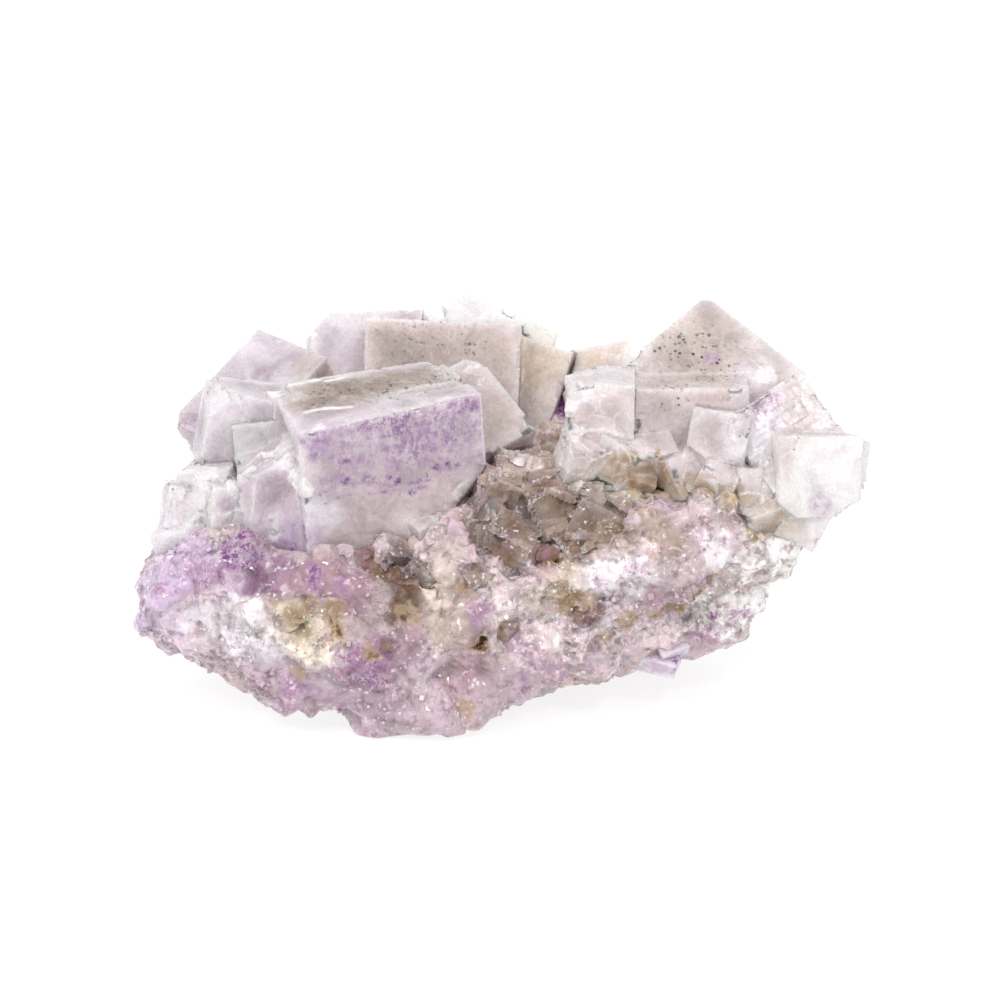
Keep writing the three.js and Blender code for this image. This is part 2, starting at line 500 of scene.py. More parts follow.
# %% [markdown]
# ## Growth steps and chipped edges
# A cube face is never one plane: layers stop short of each other and leave right-angled steps a
# few hundredths of a millimetre high. They are made from random boxes that line up with the cube.
# Edges are crisp, but here and there a flake has split off and left a flat bright scar.

# %% Growth steps


def growth_steps(owner, local, step, salt):
    """Relief in mm of layers that stopped short, for every vertex."""
    chance = np.random.default_rng(salt)
    relief = np.zeros(len(local))
    for number in range(owner.max() + 1):
        mine = owner == number
        if not mine.any():
            continue
        here = local[mine]
        low, high = here.min(0), here.max(0)
        wander = (cloud(here, 3.0, salt) - 0.5)[:, None] * 0.5
        height = np.zeros(len(here))
        for _ in range(int(10 + (high - low).prod() ** (1 / 3) * 3)):
            middle = chance.uniform(low, high)
            half = chance.uniform(0.4, 4.5, 3)
            inside = (np.abs(here + wander - middle) < half).all(axis=1)
            height += inside * chance.choice([-1, 1]) * chance.uniform(0.2, 1) * step
        relief[mine] = height
    return relief


# %% Sharp edges and seams


def edge_places(coarse, outward):
    """A tree of points every quarter millimetre along the sharp edges: those that stand outward,
    or the hollow seams where two crystals meet."""
    folds = {}
    for face in coarse.data.polygons:
        for key in face.edge_keys:
            folds.setdefault(key, []).append(face)
    corners = coarse.data.vertices
    spaced = [Vector((0, 0, -1))]
    for (a, b), sides in folds.items():
        if len(sides) != 2 or sides[0].normal.angle(sides[1].normal) < math.radians(25):
            continue
        rise = (sides[1].center - sides[0].center).dot(sides[0].normal)
        if (rise < 0) == outward:
            count = max(2, int((corners[b].co - corners[a].co).length / MM / 0.25))
            spaced += [corners[a].co.lerp(corners[b].co, t) for t in np.linspace(0, 1, count)]
    tree = KDTree(len(spaced))
    for index, spot in enumerate(spaced):
        tree.insert(spot, index)
    tree.balance()
    return tree


# %% Worn edges


def edge_wear(coarse, points, chips, salt):
    """How deep each vertex is worn in mm, how far it lies from an outward edge, where a scar is,
    and how far it lies from a hollow seam."""
    tree, seams = edge_places(coarse, True), edge_places(coarse, False)
    found = [tree.find(Vector(p * MM)) for p in points]
    seam = np.array([seams.find(Vector(p * MM))[2] for p in points]) / MM
    away = np.array([hit[2] for hit in found]) / MM
    nearest = np.array([hit[0][:] for hit in found]) / MM
    flake = hashed(np.floor(nearest / 1.7 + cloud(nearest, 4, salt)[:, None]), salt)
    small = hashed(np.floor(nearest / 0.5), salt + 1)
    width = 0.05 + 0.10 * small**3 + chips * smooth(flake, 0.8, 1.0) * 0.9
    width = width * (0.8 + 0.4 * cloud(points, 0.5, salt + 2))
    wear = np.clip(width - away, 0, None) * 0.75 * smooth(seam, 0.1, 0.5)
    return wear, away, smooth(wear, 0.08, 0.3), seam


# %% [markdown]
# ## Crystal finish
# Fluorite bends light less than quartz does, and most of it here is milky with veils and flaws. A
# clear glass with a cloudy inside could be built, but its many inner faces turn it grey and dark. So
# the Principled shader is only part see-through, and light that scatters under the surface gives
# the milk. Helpers come first, so that each finish reads as a list of what is on the stone.

# %% Node helpers
FLUORITE_IOR = 1.434
MILKINESS = 0.8


class Nodes:
    """A new material, with short names for the nodes that any finish is mixed from."""

    def __init__(self, name):
        self.material = bpy.data.materials.new(name)
        self.material.use_nodes = True
        self.tree = self.material.node_tree
        self.shader = self.tree.nodes["Principled BSDF"]
        self.output = self.tree.nodes["Material Output"]
        self.place = self.node("ShaderNodeTexCoord").outputs["Object"]

    def node(self, kind, **settings):
        made = self.tree.nodes.new(kind)
        for name, value in settings.items():
            setattr(made, name, value)
        return made

    def link(self, source, target):
        if hasattr(source, "is_output"):
            self.tree.links.new(source, target)
        else:
            target.default_value = source

    def noise(self, size, detail=3.0, roughness=0.6, distortion=0.0, place=None):
        """Noise from 0 to 1 with features about size millimetres wide."""
        made = self.node("ShaderNodeTexNoise")
        self.link(place or self.place, made.inputs["Vector"])
        made.inputs["Scale"].default_value = 1 / (size * MM)
        made.inputs["Detail"].default_value = detail
        made.inputs["Roughness"].default_value = roughness
        made.inputs["Distortion"].default_value = distortion
        return made.outputs["Fac"]

    def cells(self, size, feature="F1", output="Distance", place=None):
        made = self.node("ShaderNodeTexVoronoi", feature=feature)
        self.link(place or self.place, made.inputs["Vector"])
        made.inputs["Scale"].default_value = 1 / (size * MM)
        return made.outputs[output]

    def step(self, value, low, high, out_low=0.0, out_high=1.0):
        """Maps value from low..high to out_low..out_high, softly."""
        made = self.node("ShaderNodeMapRange", interpolation_type="SMOOTHSTEP")
        self.link(value, made.inputs["Value"])
        for name, number in zip(
            ("From Min", "From Max", "To Min", "To Max"), (low, high, out_low, out_high)
        ):
            made.inputs[name].default_value = number
        return made.outputs["Result"]

    def math(self, operation, a, b=0.0):
        made = self.node("ShaderNodeMath", operation=operation)
        self.link(a, made.inputs[0])
        self.link(b, made.inputs[1])
        return made.outputs[0]

    def vector(self, operation, a, b):
        made = self.node("ShaderNodeVectorMath", operation=operation)
        self.link(a, made.inputs[0])
        self.link(b, made.inputs["Scale" if operation == "SCALE" else 1])
        return made.outputs[0]

    def mix(self, amount, first, second, blend="MIX"):
        made = self.node("ShaderNodeMix", data_type="RGBA", blend_type=blend)
        made.clamp_factor = True
        self.link(amount, made.inputs[0])
        self.link(first, made.inputs[6])
        self.link(second, made.inputs[7])
        return made.outputs[2]

    def part(self, colour, index=0):
        """One of a colour's three parts."""
        split = self.node("ShaderNodeSeparateColor")
        self.link(colour, split.inputs[0])
        return split.outputs[index]


# %% Helpers for stone


def shade(*rgb):
    """A colour from 0 to 255 as it looks, for a colour socket."""
    return (*linear(rgb), 1.0)


class Finish(Nodes):
    """A new material with what the finishes of this stone share."""

    def stored(self, name):
        """A stored attribute as a colour, its three parts, and its fourth number."""
        read = self.node("ShaderNodeAttribute", attribute_name=name)
        split = self.node("ShaderNodeSeparateColor")
        self.link(read.outputs["Color"], split.inputs[0])
        return read.outputs["Color"], split.outputs[:3], read.outputs["Alpha"]

    def bump(self, height, depth, below=None):
        """Bump depth millimetres deep, laid over another one."""
        made = self.node("ShaderNodeBump")
        made.inputs["Strength"].default_value = 1.0
        made.inputs["Distance"].default_value = depth * MM
        self.link(height, made.inputs["Height"])
        if below is not None:
            self.link(below, made.inputs["Normal"])
        return made.outputs["Normal"]

    def twice(self, colour, amount, light, light_full, dark, dark_start, dark_full):
        """Two washes over a colour: a light one as amount rises, and then a dark one."""
        colour = self.mix(self.step(amount, 0.0, light_full), colour, shade(*light))
        return self.mix(self.step(amount, dark_start, dark_full), colour, shade(*dark))

    def grains(self, size):
        """Square-sided grains about size millimetres wide: each one's own random colour, and how
        far inside its border a point lies."""
        sway = self.node("ShaderNodeTexNoise")
        self.link(self.place, sway.inputs["Vector"])
        sway.inputs["Scale"].default_value = 0.5 / (size * MM)
        sway.inputs["Detail"].default_value = 2.0
        bent = self.vector("SCALE", sway.outputs["Color"], 1.6 * size * MM)
        bent = self.vector("ADD", self.place, bent)
        found = []
        for feature in ("F1", "F2"):
            made = self.node("ShaderNodeTexVoronoi", feature=feature, distance="CHEBYCHEV")
            self.link(bent, made.inputs["Vector"])
            made.inputs["Scale"].default_value = 1 / (size * MM)
            found.append(made)
        inside = self.math("SUBTRACT", found[1].outputs["Distance"], found[0].outputs["Distance"])
        return found[0].outputs["Color"], inside

    def tilted(self, colours, amount):
        """The surface's normal, tilted a little in each grain, as the faces of fine crystals are."""
        lean = self.vector("SUBTRACT", colours, (0.5, 0.5, 0.5))
        upright = self.node("ShaderNodeNewGeometry").outputs["Normal"]
        leaning = self.vector("ADD", upright, self.vector("SCALE", lean, amount))
        return self.vector("NORMALIZE", leaning, (0, 0, 0))

    def milky(self, radius, scale):
        """Light bent as in fluorite and scattered under the surface, scale millimetres deep."""
        sockets = self.shader.inputs
        sockets["IOR"].default_value = FLUORITE_IOR
        sockets["Subsurface Weight"].default_value = MILKINESS
        sockets["Subsurface Radius"].default_value = radius
        sockets["Subsurface Scale"].default_value = scale * MM


# %% [markdown]
# ## What is on a crystal
# From below: the painted body colour with clouds and white veils, mottled violet, dark specks,
# stain, and white frost where the stone is broken. Patterns follow the cube's own axes, as growth
# does, and steps too small to model are in the bump.

# %% Clouds, veils and specks


def veiled(f, body, along, streaks):
    """The body colour with fine flecks, clouds, white veils and winding white lines."""
    flecks = f.step(f.noise(0.26, 4, 0.8, place=streaks), 0.36, 0.64, 0.9, 1.06)
    clouds = f.step(f.noise(5.0, 6, 0.7, 0.8, place=along), 0.36, 0.62, 0.82, 1.08)
    colour = f.vector("SCALE", body, f.math("MULTIPLY", flecks, clouds))
    veil = f.step(f.noise(3.0, 5, 0.7, 1.2, place=along), 0.52, 0.68, 0.0, 0.4)
    winding = f.noise(2.6, 2, 0.5, 1.5, place=along)
    lines = f.step(winding, 0.49, 0.51, 1.0, 0.0)
    lines = f.math("MULTIPLY", lines, f.step(winding, 0.475, 0.495))
    lines = f.math("MULTIPLY", lines, f.step(f.noise(4.0, 2), 0.5, 0.6, 0.0, 0.7))
    return f.mix(f.math("MAXIMUM", veil, lines), colour, shade(240, 232, 234))


def with_specks(f, colour, along, specked):
    """The colour with dark specks that line up with the cube, of uneven size."""
    chance = f.cells(0.5, output="Color", place=along)
    spread = f.step(f.part(chance, 1), 0.0, 1.0, 0.7, 1.6)
    dots = f.step(f.math("DIVIDE", f.cells(0.5, place=along), spread), 0.18, 0.34, 1.0, 0.0)
    dots = f.math("MULTIPLY", dots, f.step(f.part(chance), 0.3, 0.35))
    return f.mix(f.math("MULTIPLY", dots, specked), colour, shade(70, 56, 52))


# %% The crystal finish


def crystal_finish(name, clear, rough):
    """Milky fluorite: the washed colour, mottled violet, stain, frosted scars, fine steps."""
    f = Finish(name)
    body, _, _ = f.stored("body")
    _, (violet, stain, frost), specked = f.stored("tone")
    along, _, _ = f.stored("along")
    streaks = f.vector("MULTIPLY", along, (1.0, 1.0, 0.8))
    colour = veiled(f, body, along, streaks)
    mottled = f.step(f.noise(0.8, 5, 0.9, place=streaks), 0.42, 0.58, 0.15, 1.0)
    amount = f.math("MULTIPLY", violet, mottled)
    colour = f.twice(colour, amount, (184, 154, 186), 0.6, (108, 62, 124), 0.45, 1.0)
    colour = with_specks(f, colour, along, specked)
    colour = f.twice(colour, stain, (192, 166, 140), 0.6, (112, 82, 58), 0.55, 1.0)
    white = f.mix(f.step(f.noise(0.5, 4, 0.75), 0.35, 0.65), shade(224, 216, 219), shade(252, 249, 248))
    colour = f.mix(frost, colour, white)
    f.link(colour, f.shader.inputs["Base Color"])
    f.link(f.step(frost, 0.0, 1.0, clear, 0.1), f.shader.inputs["Transmission Weight"])
    patches = f.step(f.noise(1.2, 3), 0.35, 0.7, rough, rough + 0.16)
    f.link(f.math("ADD", patches, f.math("MULTIPLY", frost, 0.2)), f.shader.inputs["Roughness"])
    f.milky((1.0, 0.85, 0.95), 2.0)
    leaning = f.tilted(f.cells(1.3, output="Color", place=along), 0.05)
    waves = f.bump(f.noise(1.5, 2, 0.5, 0.4, place=streaks), 0.06, leaning)
    f.link(f.bump(f.noise(0.22, 2, 0.6, place=streaks), 0.024, waves), f.shader.inputs["Normal"])
    return f.material


# %% [markdown]
# ## What is on the matrix
# The matrix is the same stone in grains: sugary in some places and smooth and glassy in others,
# which the painted "sugary" number says. Sugar sparkles because each grain's face leans its own
# way, so the normal is tilted grain by grain, and a few grains are painted white as glints.

# %% Grain by grain


def grainy(f, body, sugary, small):
    """The body colour, lighter and darker from grain to grain, with dusky grains in clouds."""
    large, _ = f.grains(1.4)
    spread = f.step(f.part(small), 0.0, 1.0, -0.3, 0.16)
    spread = f.math("ADD", spread, f.step(f.part(large), 0.0, 1.0, -0.26, 0.12))
    coarseness = f.math("ADD", f.math("MULTIPLY", sugary, 0.7), 0.3)
    tones = f.math("ADD", f.math("MULTIPLY", spread, coarseness), 1.0)
    flecks = f.step(f.noise(0.22, 3, 0.8), 0.36, 0.64, 0.93, 1.06)
    colour = f.vector("SCALE", body, f.math("MULTIPLY", flecks, tones))
    dusky = f.step(f.part(small, 1), 0.3, 0.5, 0.0, 0.7)
    dusk = f.math("MULTIPLY", f.step(f.noise(1.4, 4, 0.75), 0.5, 0.62), dusky)
    return f.mix(dusk, colour, shade(146, 114, 126))


def sparkle(f, frost, stain, sugary, inside):
    """How white each point is: painted frost, pale seams between grains, and bright glints."""
    healed = f.step(f.noise(2.2, 3), 0.46, 0.56, 0.0, 0.45)
    seams = f.math("MULTIPLY", f.step(inside, 0.0, 0.14, 1.0, 0.0), healed)
    seams = f.math("MULTIPLY", seams, f.step(sugary, 0.2, 0.9, 0.05, 1.0))
    frost = f.math("MAXIMUM", frost, seams)
    glints = f.step(f.part(f.grains(0.28)[0]), 0.93, 0.955)
    glints = f.math("MULTIPLY", glints, f.step(f.noise(3.0, 3), 0.42, 0.58, 0.0, 0.75))
    return f.math("MULTIPLY", f.math("MAXIMUM", frost, glints), f.step(stain, 0.3, 0.8, 1.0, 0.1))


# %% The matrix finish


def matrix_finish(name, clear):
    """Sugary fluorite: the washed colour, violet and brown where painted, and a wet sparkle."""
    f = Finish(name)
    body, _, _ = f.stored("body")
    _, (violet, stain, frost), sugary = f.stored("tone")
    small, small_inside = f.grains(0.55)
    colour = grainy(f, body, sugary, small)
    mottled = f.step(f.noise(0.6, 4, 0.8), 0.38, 0.58, 0.2, 1.0)
    amount = f.math("MULTIPLY", violet, mottled)
    colour = f.twice(colour, amount, (180, 142, 172), 0.6, (122, 62, 128), 0.45, 0.95)
    stained = f.math("MULTIPLY", stain, f.step(f.noise(0.8, 4, 0.8), 0.38, 0.58, 0.25, 1.0))
    colour = f.twice(colour, stained, (180, 154, 126), 0.5, (98, 66, 46), 0.45, 0.95)
    white = sparkle(f, frost, stain, sugary, small_inside)
    colour = f.mix(white, colour, shade(248, 242, 243))
    f.link(colour, f.shader.inputs["Base Color"])
    f.link(f.step(f.noise(0.7, 2), 0.35, 0.65, 0.08, 0.34), f.shader.inputs["Roughness"])
    f.shader.inputs["Transmission Weight"].default_value = clear
    f.milky((1.0, 0.8, 0.9), 0.35)
    leaning = f.tilted(small, f.step(sugary, 0.0, 1.0, 0.12, 0.55))
    f.link(leaning, f.shader.inputs["Normal"])
    return f.material


# %% [markdown]
# ## Where the crystals' colours lie
# Violet gathered near the faces of some cubes and at their feet, and others are grey, cream or
# nearly white. A wash is a tint, a radius and a path. A mark is a place, a radius and a strength. A
# line is a path, a radius and a strength. All are in millimetres in the part's own frame.

# %% Washes on the crystals
CRYSTAL_WASHES = [
    # the big cube: a pale pink foot, and a grey-brown top partly darkened with painted shade
    ("rose", 6.0, [(-14, -15, 20), (-6, -12, 21)]),
    ("milk", 3.0, [(-18, -16, 22)]),
    ("lilac", 2.5, [(-18, -16, 30)]),
    ("dun", 5.0, [(-19, -8, 32), (-11, -6, 33), (-4, -4, 34)]),
    # the leaning cube behind it, the stubby block, and the blocks at its left
    ("fawn", 5.0, [(1, -3, 27)]),
    ("haze", 4.0, [(-23, -17, 24)]),
    ("lilac", 4.0, [(-21, -16, 19)]),
    ("milk", 5.0, [(-27, -8, 29)]),
    ("milk", 6.0, [(-29, 1, 29)]),
    ("frost", 4.0, [(-30, -12, 22)]),
    # the rear cubes: milky, pink-brown, and cream
    ("milk", 6.0, [(-17, 13, 31)]),
    ("fawn", 7.0, [(-11, 8, 31), (-4, 7, 31)]),
    ("cream", 5.0, [(3, 11, 30), (11, 12, 30)]),
    ("frost", 4.0, [(-8, 18, 34), (1, 18, 33)]),
    # the smoky crystals: brown, darkest in the middle of their hollow with painted shade, straw at the
    # top
    ("smoke", 6.0, [(-2, -14, 19), (5, -12, 20), (12, -13, 20)]),
    ("umber", 2.5, [(3, -13, 20), (6, -12, 19)]),
    ("umber", 2.0, [(13, -14, 21)]),
    ("umber", 2.5, [(-10, -16, 17), (-7, -17, 15), (-2, -18, 15)]),
    ("straw", 2.0, [(7, -11, 22)]),
    ("ash", 2.5, [(2, -9, 24)]),
    # the right cubes: a grey peak and ledge, the rest pale
    ("fawn", 8.0, [(19, -1, 34)]),
    ("fawn", 3.0, [(15, -8, 33), (21, -8, 33)]),
    ("milk", 3.0, [(26, -5, 34)]),
    ("frost", 6.0, [(32, -15, 25)]),
    ("milk", 4.0, [(25, -11, 28)]),
    ("milk", 2.5, [(24, -13, 29)]),
    ("rose", 3.0, [(9, -11, 27), (15, -11, 26), (20, -14, 26)]),
    ("sand", 3.0, [(10, -12, 24), (16, -13, 24), (21, -15, 23), (27, -16, 21)]),
    ("straw", 1.6, [(12, -12, 24), (15, -13, 24), (20, -15, 23)]),
]

# %% Violet on the crystals
BROW_VIOLET = [
    # the violet patches high on the big cube's front face
    (-18.0, -16.3, 29.6, 2.6, 0.95),
    (-10.7, -13.9, 31.2, 3.0, 0.9),
    (-15.2, -15.4, 31.4, 1.8, 0.7),
    (-5.9, -12.4, 27.8, 3.4, 0.75),
    (-3.0, -11.4, 31.4, 1.8, 0.85),
    (-16.8, -15.9, 26.2, 2.0, 0.6),
    (-8.2, -13.1, 26.6, 2.0, 0.7),
    (-11.8, -14.3, 27.6, 1.6, 0.6),
]
CRYSTAL_VIOLET = [
    # the big cube: dark spots low on its face
    (-15.3, -15.4, 25.2, 0.8, 0.8),
    (-14.6, -15.2, 24.6, 0.8, 0.6),
    (-10.8, -14.0, 25.1, 0.7, 1.0),
    (-10.2, -13.7, 24.5, 0.6, 1.0),
    (-7.6, -12.8, 24.8, 0.6, 1.0),
    (-6.2, -12.4, 25.6, 0.8, 0.75),
    (-4.8, -12.0, 25.4, 0.8, 0.75),
    (-16.0, -15.6, 27.0, 0.6, 0.8),
    (-8.8, -13.4, 23.2, 0.5, 0.8),
    # the foot of the stubby block
    (-19.1, -16.6, 17.2, 1.3, 1.0),
    (-21.5, -16.6, 18.3, 1.7, 0.8),
    (-19.6, -16.6, 20.0, 1.2, 0.6),
    # the right cubes
    (21.3, -2.9, 34.0, 1.3, 0.55),
    (26.0, -10.4, 31.8, 2.2, 0.5),
    (26.4, -12.0, 30.0, 1.6, 0.35),
    (18.3, -15.8, 5.4, 1.5, 0.9),
    (14.5, -15.6, 5.6, 3.2, 0.35),
    (31.5, -16.5, 23.2, 1.4, 0.35),
    # the left rear cube: its low left edge
    (-32.5, -1.0, 25.0, 3.5, 0.45),
    (-28.0, 1.5, 29.0, 3.0, 0.25),
]

VIOLET_LINES = [
    # streaks low on the big cube, the arc at the foot of the stubby block, the right cube's band
    ([(-6.8, -12.6, 25.4), (-5.4, -12.1, 25.7), (-4.0, -11.6, 25.5)], 0.32, 0.9),
    ([(-15.9, -15.6, 27.2), (-14.9, -15.2, 27.1)], 0.3, 0.8),
    ([(-20.6, -16.4, 18.0), (-19.2, -16.4, 17.1), (-17.6, -16.6, 17.3)], 0.45, 1.0),
    ([(24.4, -12.6, 31.0), (26.0, -10.0, 32.0), (27.6, -7.6, 33.0)], 0.5, 0.8),
]

# %% Broken places, painted glints and white lines
CRYSTAL_BREAKS_AND_GLINTS = [
    # the slanted top of the stubby block and the flake at its right shoulder
    (-22.8, -14.0, 27.8, 1.6, 1.0),
    (-20.8, -14.8, 26.2, 1.3, 1.0),
    (-19.6, -15.6, 25.0, 1.2, 1.0),
    (-23.0, -10.7, 26.7, 2.6, 1.0),
    (-25.0, -12.6, 26.0, 1.8, 0.9),
    # ledges at the back of the big cube's top
    (-22.6, -7.0, 31.4, 1.1, 0.9),
    (-20.4, -5.2, 32.2, 1.1, 1.0),
    (-18.0, -4.0, 32.6, 0.9, 1.0),
    (-15.6, -3.2, 32.8, 0.8, 0.9),
    (-12.0, -1.6, 33.0, 0.9, 0.7),
    (-17.5, -15.4, 31.0, 0.8, 0.7),
    (-3.0, 2.3, 31.4, 1.1, 1.0),
    (-2.2, 1.2, 30.0, 0.7, 0.8),
    # the right foot of the big cube
    (-3.4, -11.8, 22.6, 1.2, 0.7),
    (-6.0, -12.8, 20.4, 1.3, 0.6),
    # the broken white cube at the left edge
    (-28.6, -12.4, 24.4, 2.4, 1.0),
    (-27.4, -14.2, 21.6, 2.0, 1.0),
    (-30.6, -12.8, 22.4, 1.8, 0.8),
    # the mosaic cube and its neighbours
    (7.6, -11.0, 31.4, 2.0, 0.8),
    (10.6, -11.0, 31.0, 1.6, 0.7),
    (7.4, -11.0, 28.4, 1.6, 0.7),
    (11.4, -11.4, 28.4, 1.6, 0.6),
    (6.6, -10.8, 25.6, 1.6, 0.6),
    (9.0, -11.5, 26.0, 2.6, 0.4),
    (13.0, -11.5, 25.5, 2.8, 0.3),
    (17.0, -13.0, 25.0, 2.6, 0.3),
    (21.0, -15.0, 24.5, 2.6, 0.3),
    (25.0, -15.5, 24.0, 2.6, 0.4),
    (26.8, -4.6, 34.2, 2.0, 0.8),
    (25.6, -5.6, 32.4, 1.3, 0.6),
    (14.2, -1.6, 33.6, 1.3, 0.7),
    (34.6, -14.0, 28.6, 1.5, 0.7),
    (29.0, -15.6, 27.2, 1.2, 0.6),
    # the smoky hollow's bright glint, a painted white highlight
    (2.2, -8.4, 24.6, 1.1, 0.9),
    (3.8, -8.6, 24.2, 0.9, 0.8),
    (-0.4, -13.6, 21.4, 1.2, 0.8),
    (-1.8, -14.8, 20.0, 1.0, 0.8),
    (4.2, -13.6, 22.0, 0.7, 0.9),
    (12.8, -13.0, 20.6, 0.8, 0.8),
]
FROST_LINES = [
    # white ledges at the back and front of the big cube's top
    ([(-23.0, -6.0, 31.5), (-20.8, -4.9, 31.8), (-18.6, -4.0, 32.0)], 0.55, 1.0),
    ([(-17.6, -4.6, 32.1), (-15.4, -3.4, 32.3)], 0.4, 1.0),
    ([(-12.4, -2.0, 32.6), (-9.0, -1.2, 32.8)], 0.35, 0.8),
    ([(-19.4, -11.8, 31.0), (-17.4, -11.3, 31.3), (-14.9, -11.4, 31.5)], 0.35, 0.9),
    # the white flake and the white left edge of the stubby block
    ([(-21.8, -14.6, 27.2), (-20.4, -15.6, 26.0), (-19.0, -16.6, 24.4)], 0.9, 1.0),
    ([(-24.6, -12.6, 28.6), (-22.6, -13.6, 27.8)], 0.5, 0.9),
    ([(-26.2, -14.4, 26.0), (-26.4, -15.2, 23.4), (-26.4, -15.6, 20.6)], 0.45, 1.0),
    # the mosaic cube: its left and top edges and ledges across its face
    ([(6.7, -10.4, 33.2), (6.6, -10.3, 30.4), (6.7, -10.2, 27.8)], 0.5, 0.95),
    ([(6.9, -10.6, 33.2), (9.6, -10.8, 33.4), (12.8, -10.8, 33.4)], 0.4, 0.9),
    ([(7.2, -10.5, 31.6), (8.8, -10.6, 31.9), (9.6, -10.6, 31.1), (11.2, -10.6, 31.4)], 0.28, 0.8),
    ([(7.2, -10.4, 30.2), (8.4, -10.5, 29.8), (9.2, -10.5, 30.3), (10.6, -10.5, 30.0)], 0.25, 0.7),
    ([(7.0, -10.4, 29.0), (8.2, -10.4, 28.5), (10.0, -10.5, 28.8), (12.2, -10.6, 28.2)], 0.3, 0.8),
    # the wide cube's top edge, and the corner of the violet cube
    ([(14.6, -9.8, 33.4), (18.0, -9.8, 33.2), (21.0, -9.8, 32.6)], 0.25, 0.6),
    ([(23.4, -13.4, 31.0), (23.7, -13.6, 30.6)], 0.4, 1.0),
]

# %% Cracks, specks and stain
CRACKS = [
    # fine curved cracks in the wide cube's face
    ([(14.4, -9.8, 33.0), (15.4, -9.7, 31.6), (15.1, -9.7, 30.2), (14.4, -9.7, 29.2)], 0.13, 0.55),
    ([(13.2, -9.7, 30.4), (14.6, -9.7, 30.2), (16.2, -9.7, 30.4), (17.6, -9.7, 30.0)], 0.13, 0.5),
    ([(15.0, -9.7, 30.2), (14.8, -9.7, 29.0), (15.2, -9.7, 28.4)], 0.12, 0.55),
    ([(16.2, -9.7, 30.4), (16.9, -9.7, 29.4)], 0.12, 0.5),
    ([(19.4, -9.7, 31.4), (19.9, -9.7, 31.3)], 0.2, 1.0),
]
CRYSTAL_SPECKS = [
    # dark specks in the peak, the rear cube, and the big cube's top
    (19.0, -2.0, 35.0, 5.0, 0.7),
    (22.5, -4.5, 33.5, 3.0, 0.8),
    (-8.0, 6.6, 32.5, 5.0, 0.6),
    (-17.0, -8.0, 31.5, 4.0, 0.8),
    (-10.5, -8.0, 32.3, 4.0, 0.9),
    (-6.0, -4.5, 32.8, 3.0, 1.0),
    (-12.0, -6.0, 32.8, 3.0, 0.5),
    (-3.0, 7.6, 32.6, 2.0, 0.8),
    (21.0, -4.0, 34.4, 4.2, 1.0),
    (17.0, -8.2, 32.4, 2.6, 0.8),
    (24.4, -9.6, 31.4, 1.8, 0.8),
    (25.6, -12.0, 31.8, 1.6, 0.7),
    (13.2, -8.2, 32.6, 1.2, 0.6),
]
CRYSTAL_STAIN = [
    # tan stain where the right cubes' feet run into the ground
    (12.5, -12.0, 25.4, 2.4, 0.7),
    (15.6, -12.4, 24.6, 2.2, 0.7),
    (19.0, -14.0, 24.4, 2.0, 0.4),
    (23.0, -15.6, 23.4, 2.2, 0.4),
    (27.0, -15.8, 21.6, 1.8, 0.4),
    (-9.5, -14.3, 17.5, 1.6, 0.5),
    (4.6, -8.4, 22.8, 1.2, 0.6),
    (8.5, -9.0, 21.0, 1.4, 0.7),
    (9.5, -8.5, 22.5, 1.0, 0.7),
]

marks = (CRYSTAL_WASHES, CRYSTAL_VIOLET, CRYSTAL_BREAKS_AND_GLINTS, FROST_LINES, CRACKS, CRYSTAL_STAIN)
print("marks on the crystals:", sum(len(kind) for kind in marks))


# %% [markdown]
# ## The big cube's violet
# The upper part of its front face holds the strongest violet, in patches that fade downwards into
# fine flecks. The hidden faces at the back get faint violet clouds of their own.

# %% The violet zone


def crystal_violet(points, facing):
    """The painted marks, the violet zone of the big cube's front face, and the clouds behind."""
    face = smooth(points[:, 0], -21.0, -19.0) * (1 - smooth(points[:, 1], -9.5, -7))
    face *= smooth(-facing[:, 1], 0.5, 0.8) * (points[:, 0] < 1)
    fade = smooth(points[:, 2] + 8 * (billow(points, 3.0, 41) - 0.5), 23.0, 29.0)
    flat = points * (0.35, 0.35, 1.3)
    patches = 0.55 + 0.45 * smooth(billow(flat, 1.1, 31, 4), 0.4, 0.6)
    flecks = 0.65 * smooth(billow(flat, 0.9, 37), 0.58, 0.7) * smooth(points[:, 2], 20, 23)
    brow = np.maximum(0.62 * fade, 0.8 * spots(points, BROW_VIOLET, 0.9, 43)) * patches
    zone = face * np.maximum(brow, flecks)
    behind = smooth(facing[:, 1], 0.1, 0.5) * smooth(billow(points, 6.0, 87, 4), 0.5, 0.64)
    zone = np.maximum(zone, 0.6 * behind)
    return np.maximum.reduce([spots(points, CRYSTAL_VIOLET), zone, strokes(points, VIOLET_LINES)])


# %% [markdown]
# ## The crystal groups
# Ten groups of crystals differ in colour, clearness and how broken they are. Each could have its own
# code, but all of them grew and broke in the same ways, so a short list for each is enough.

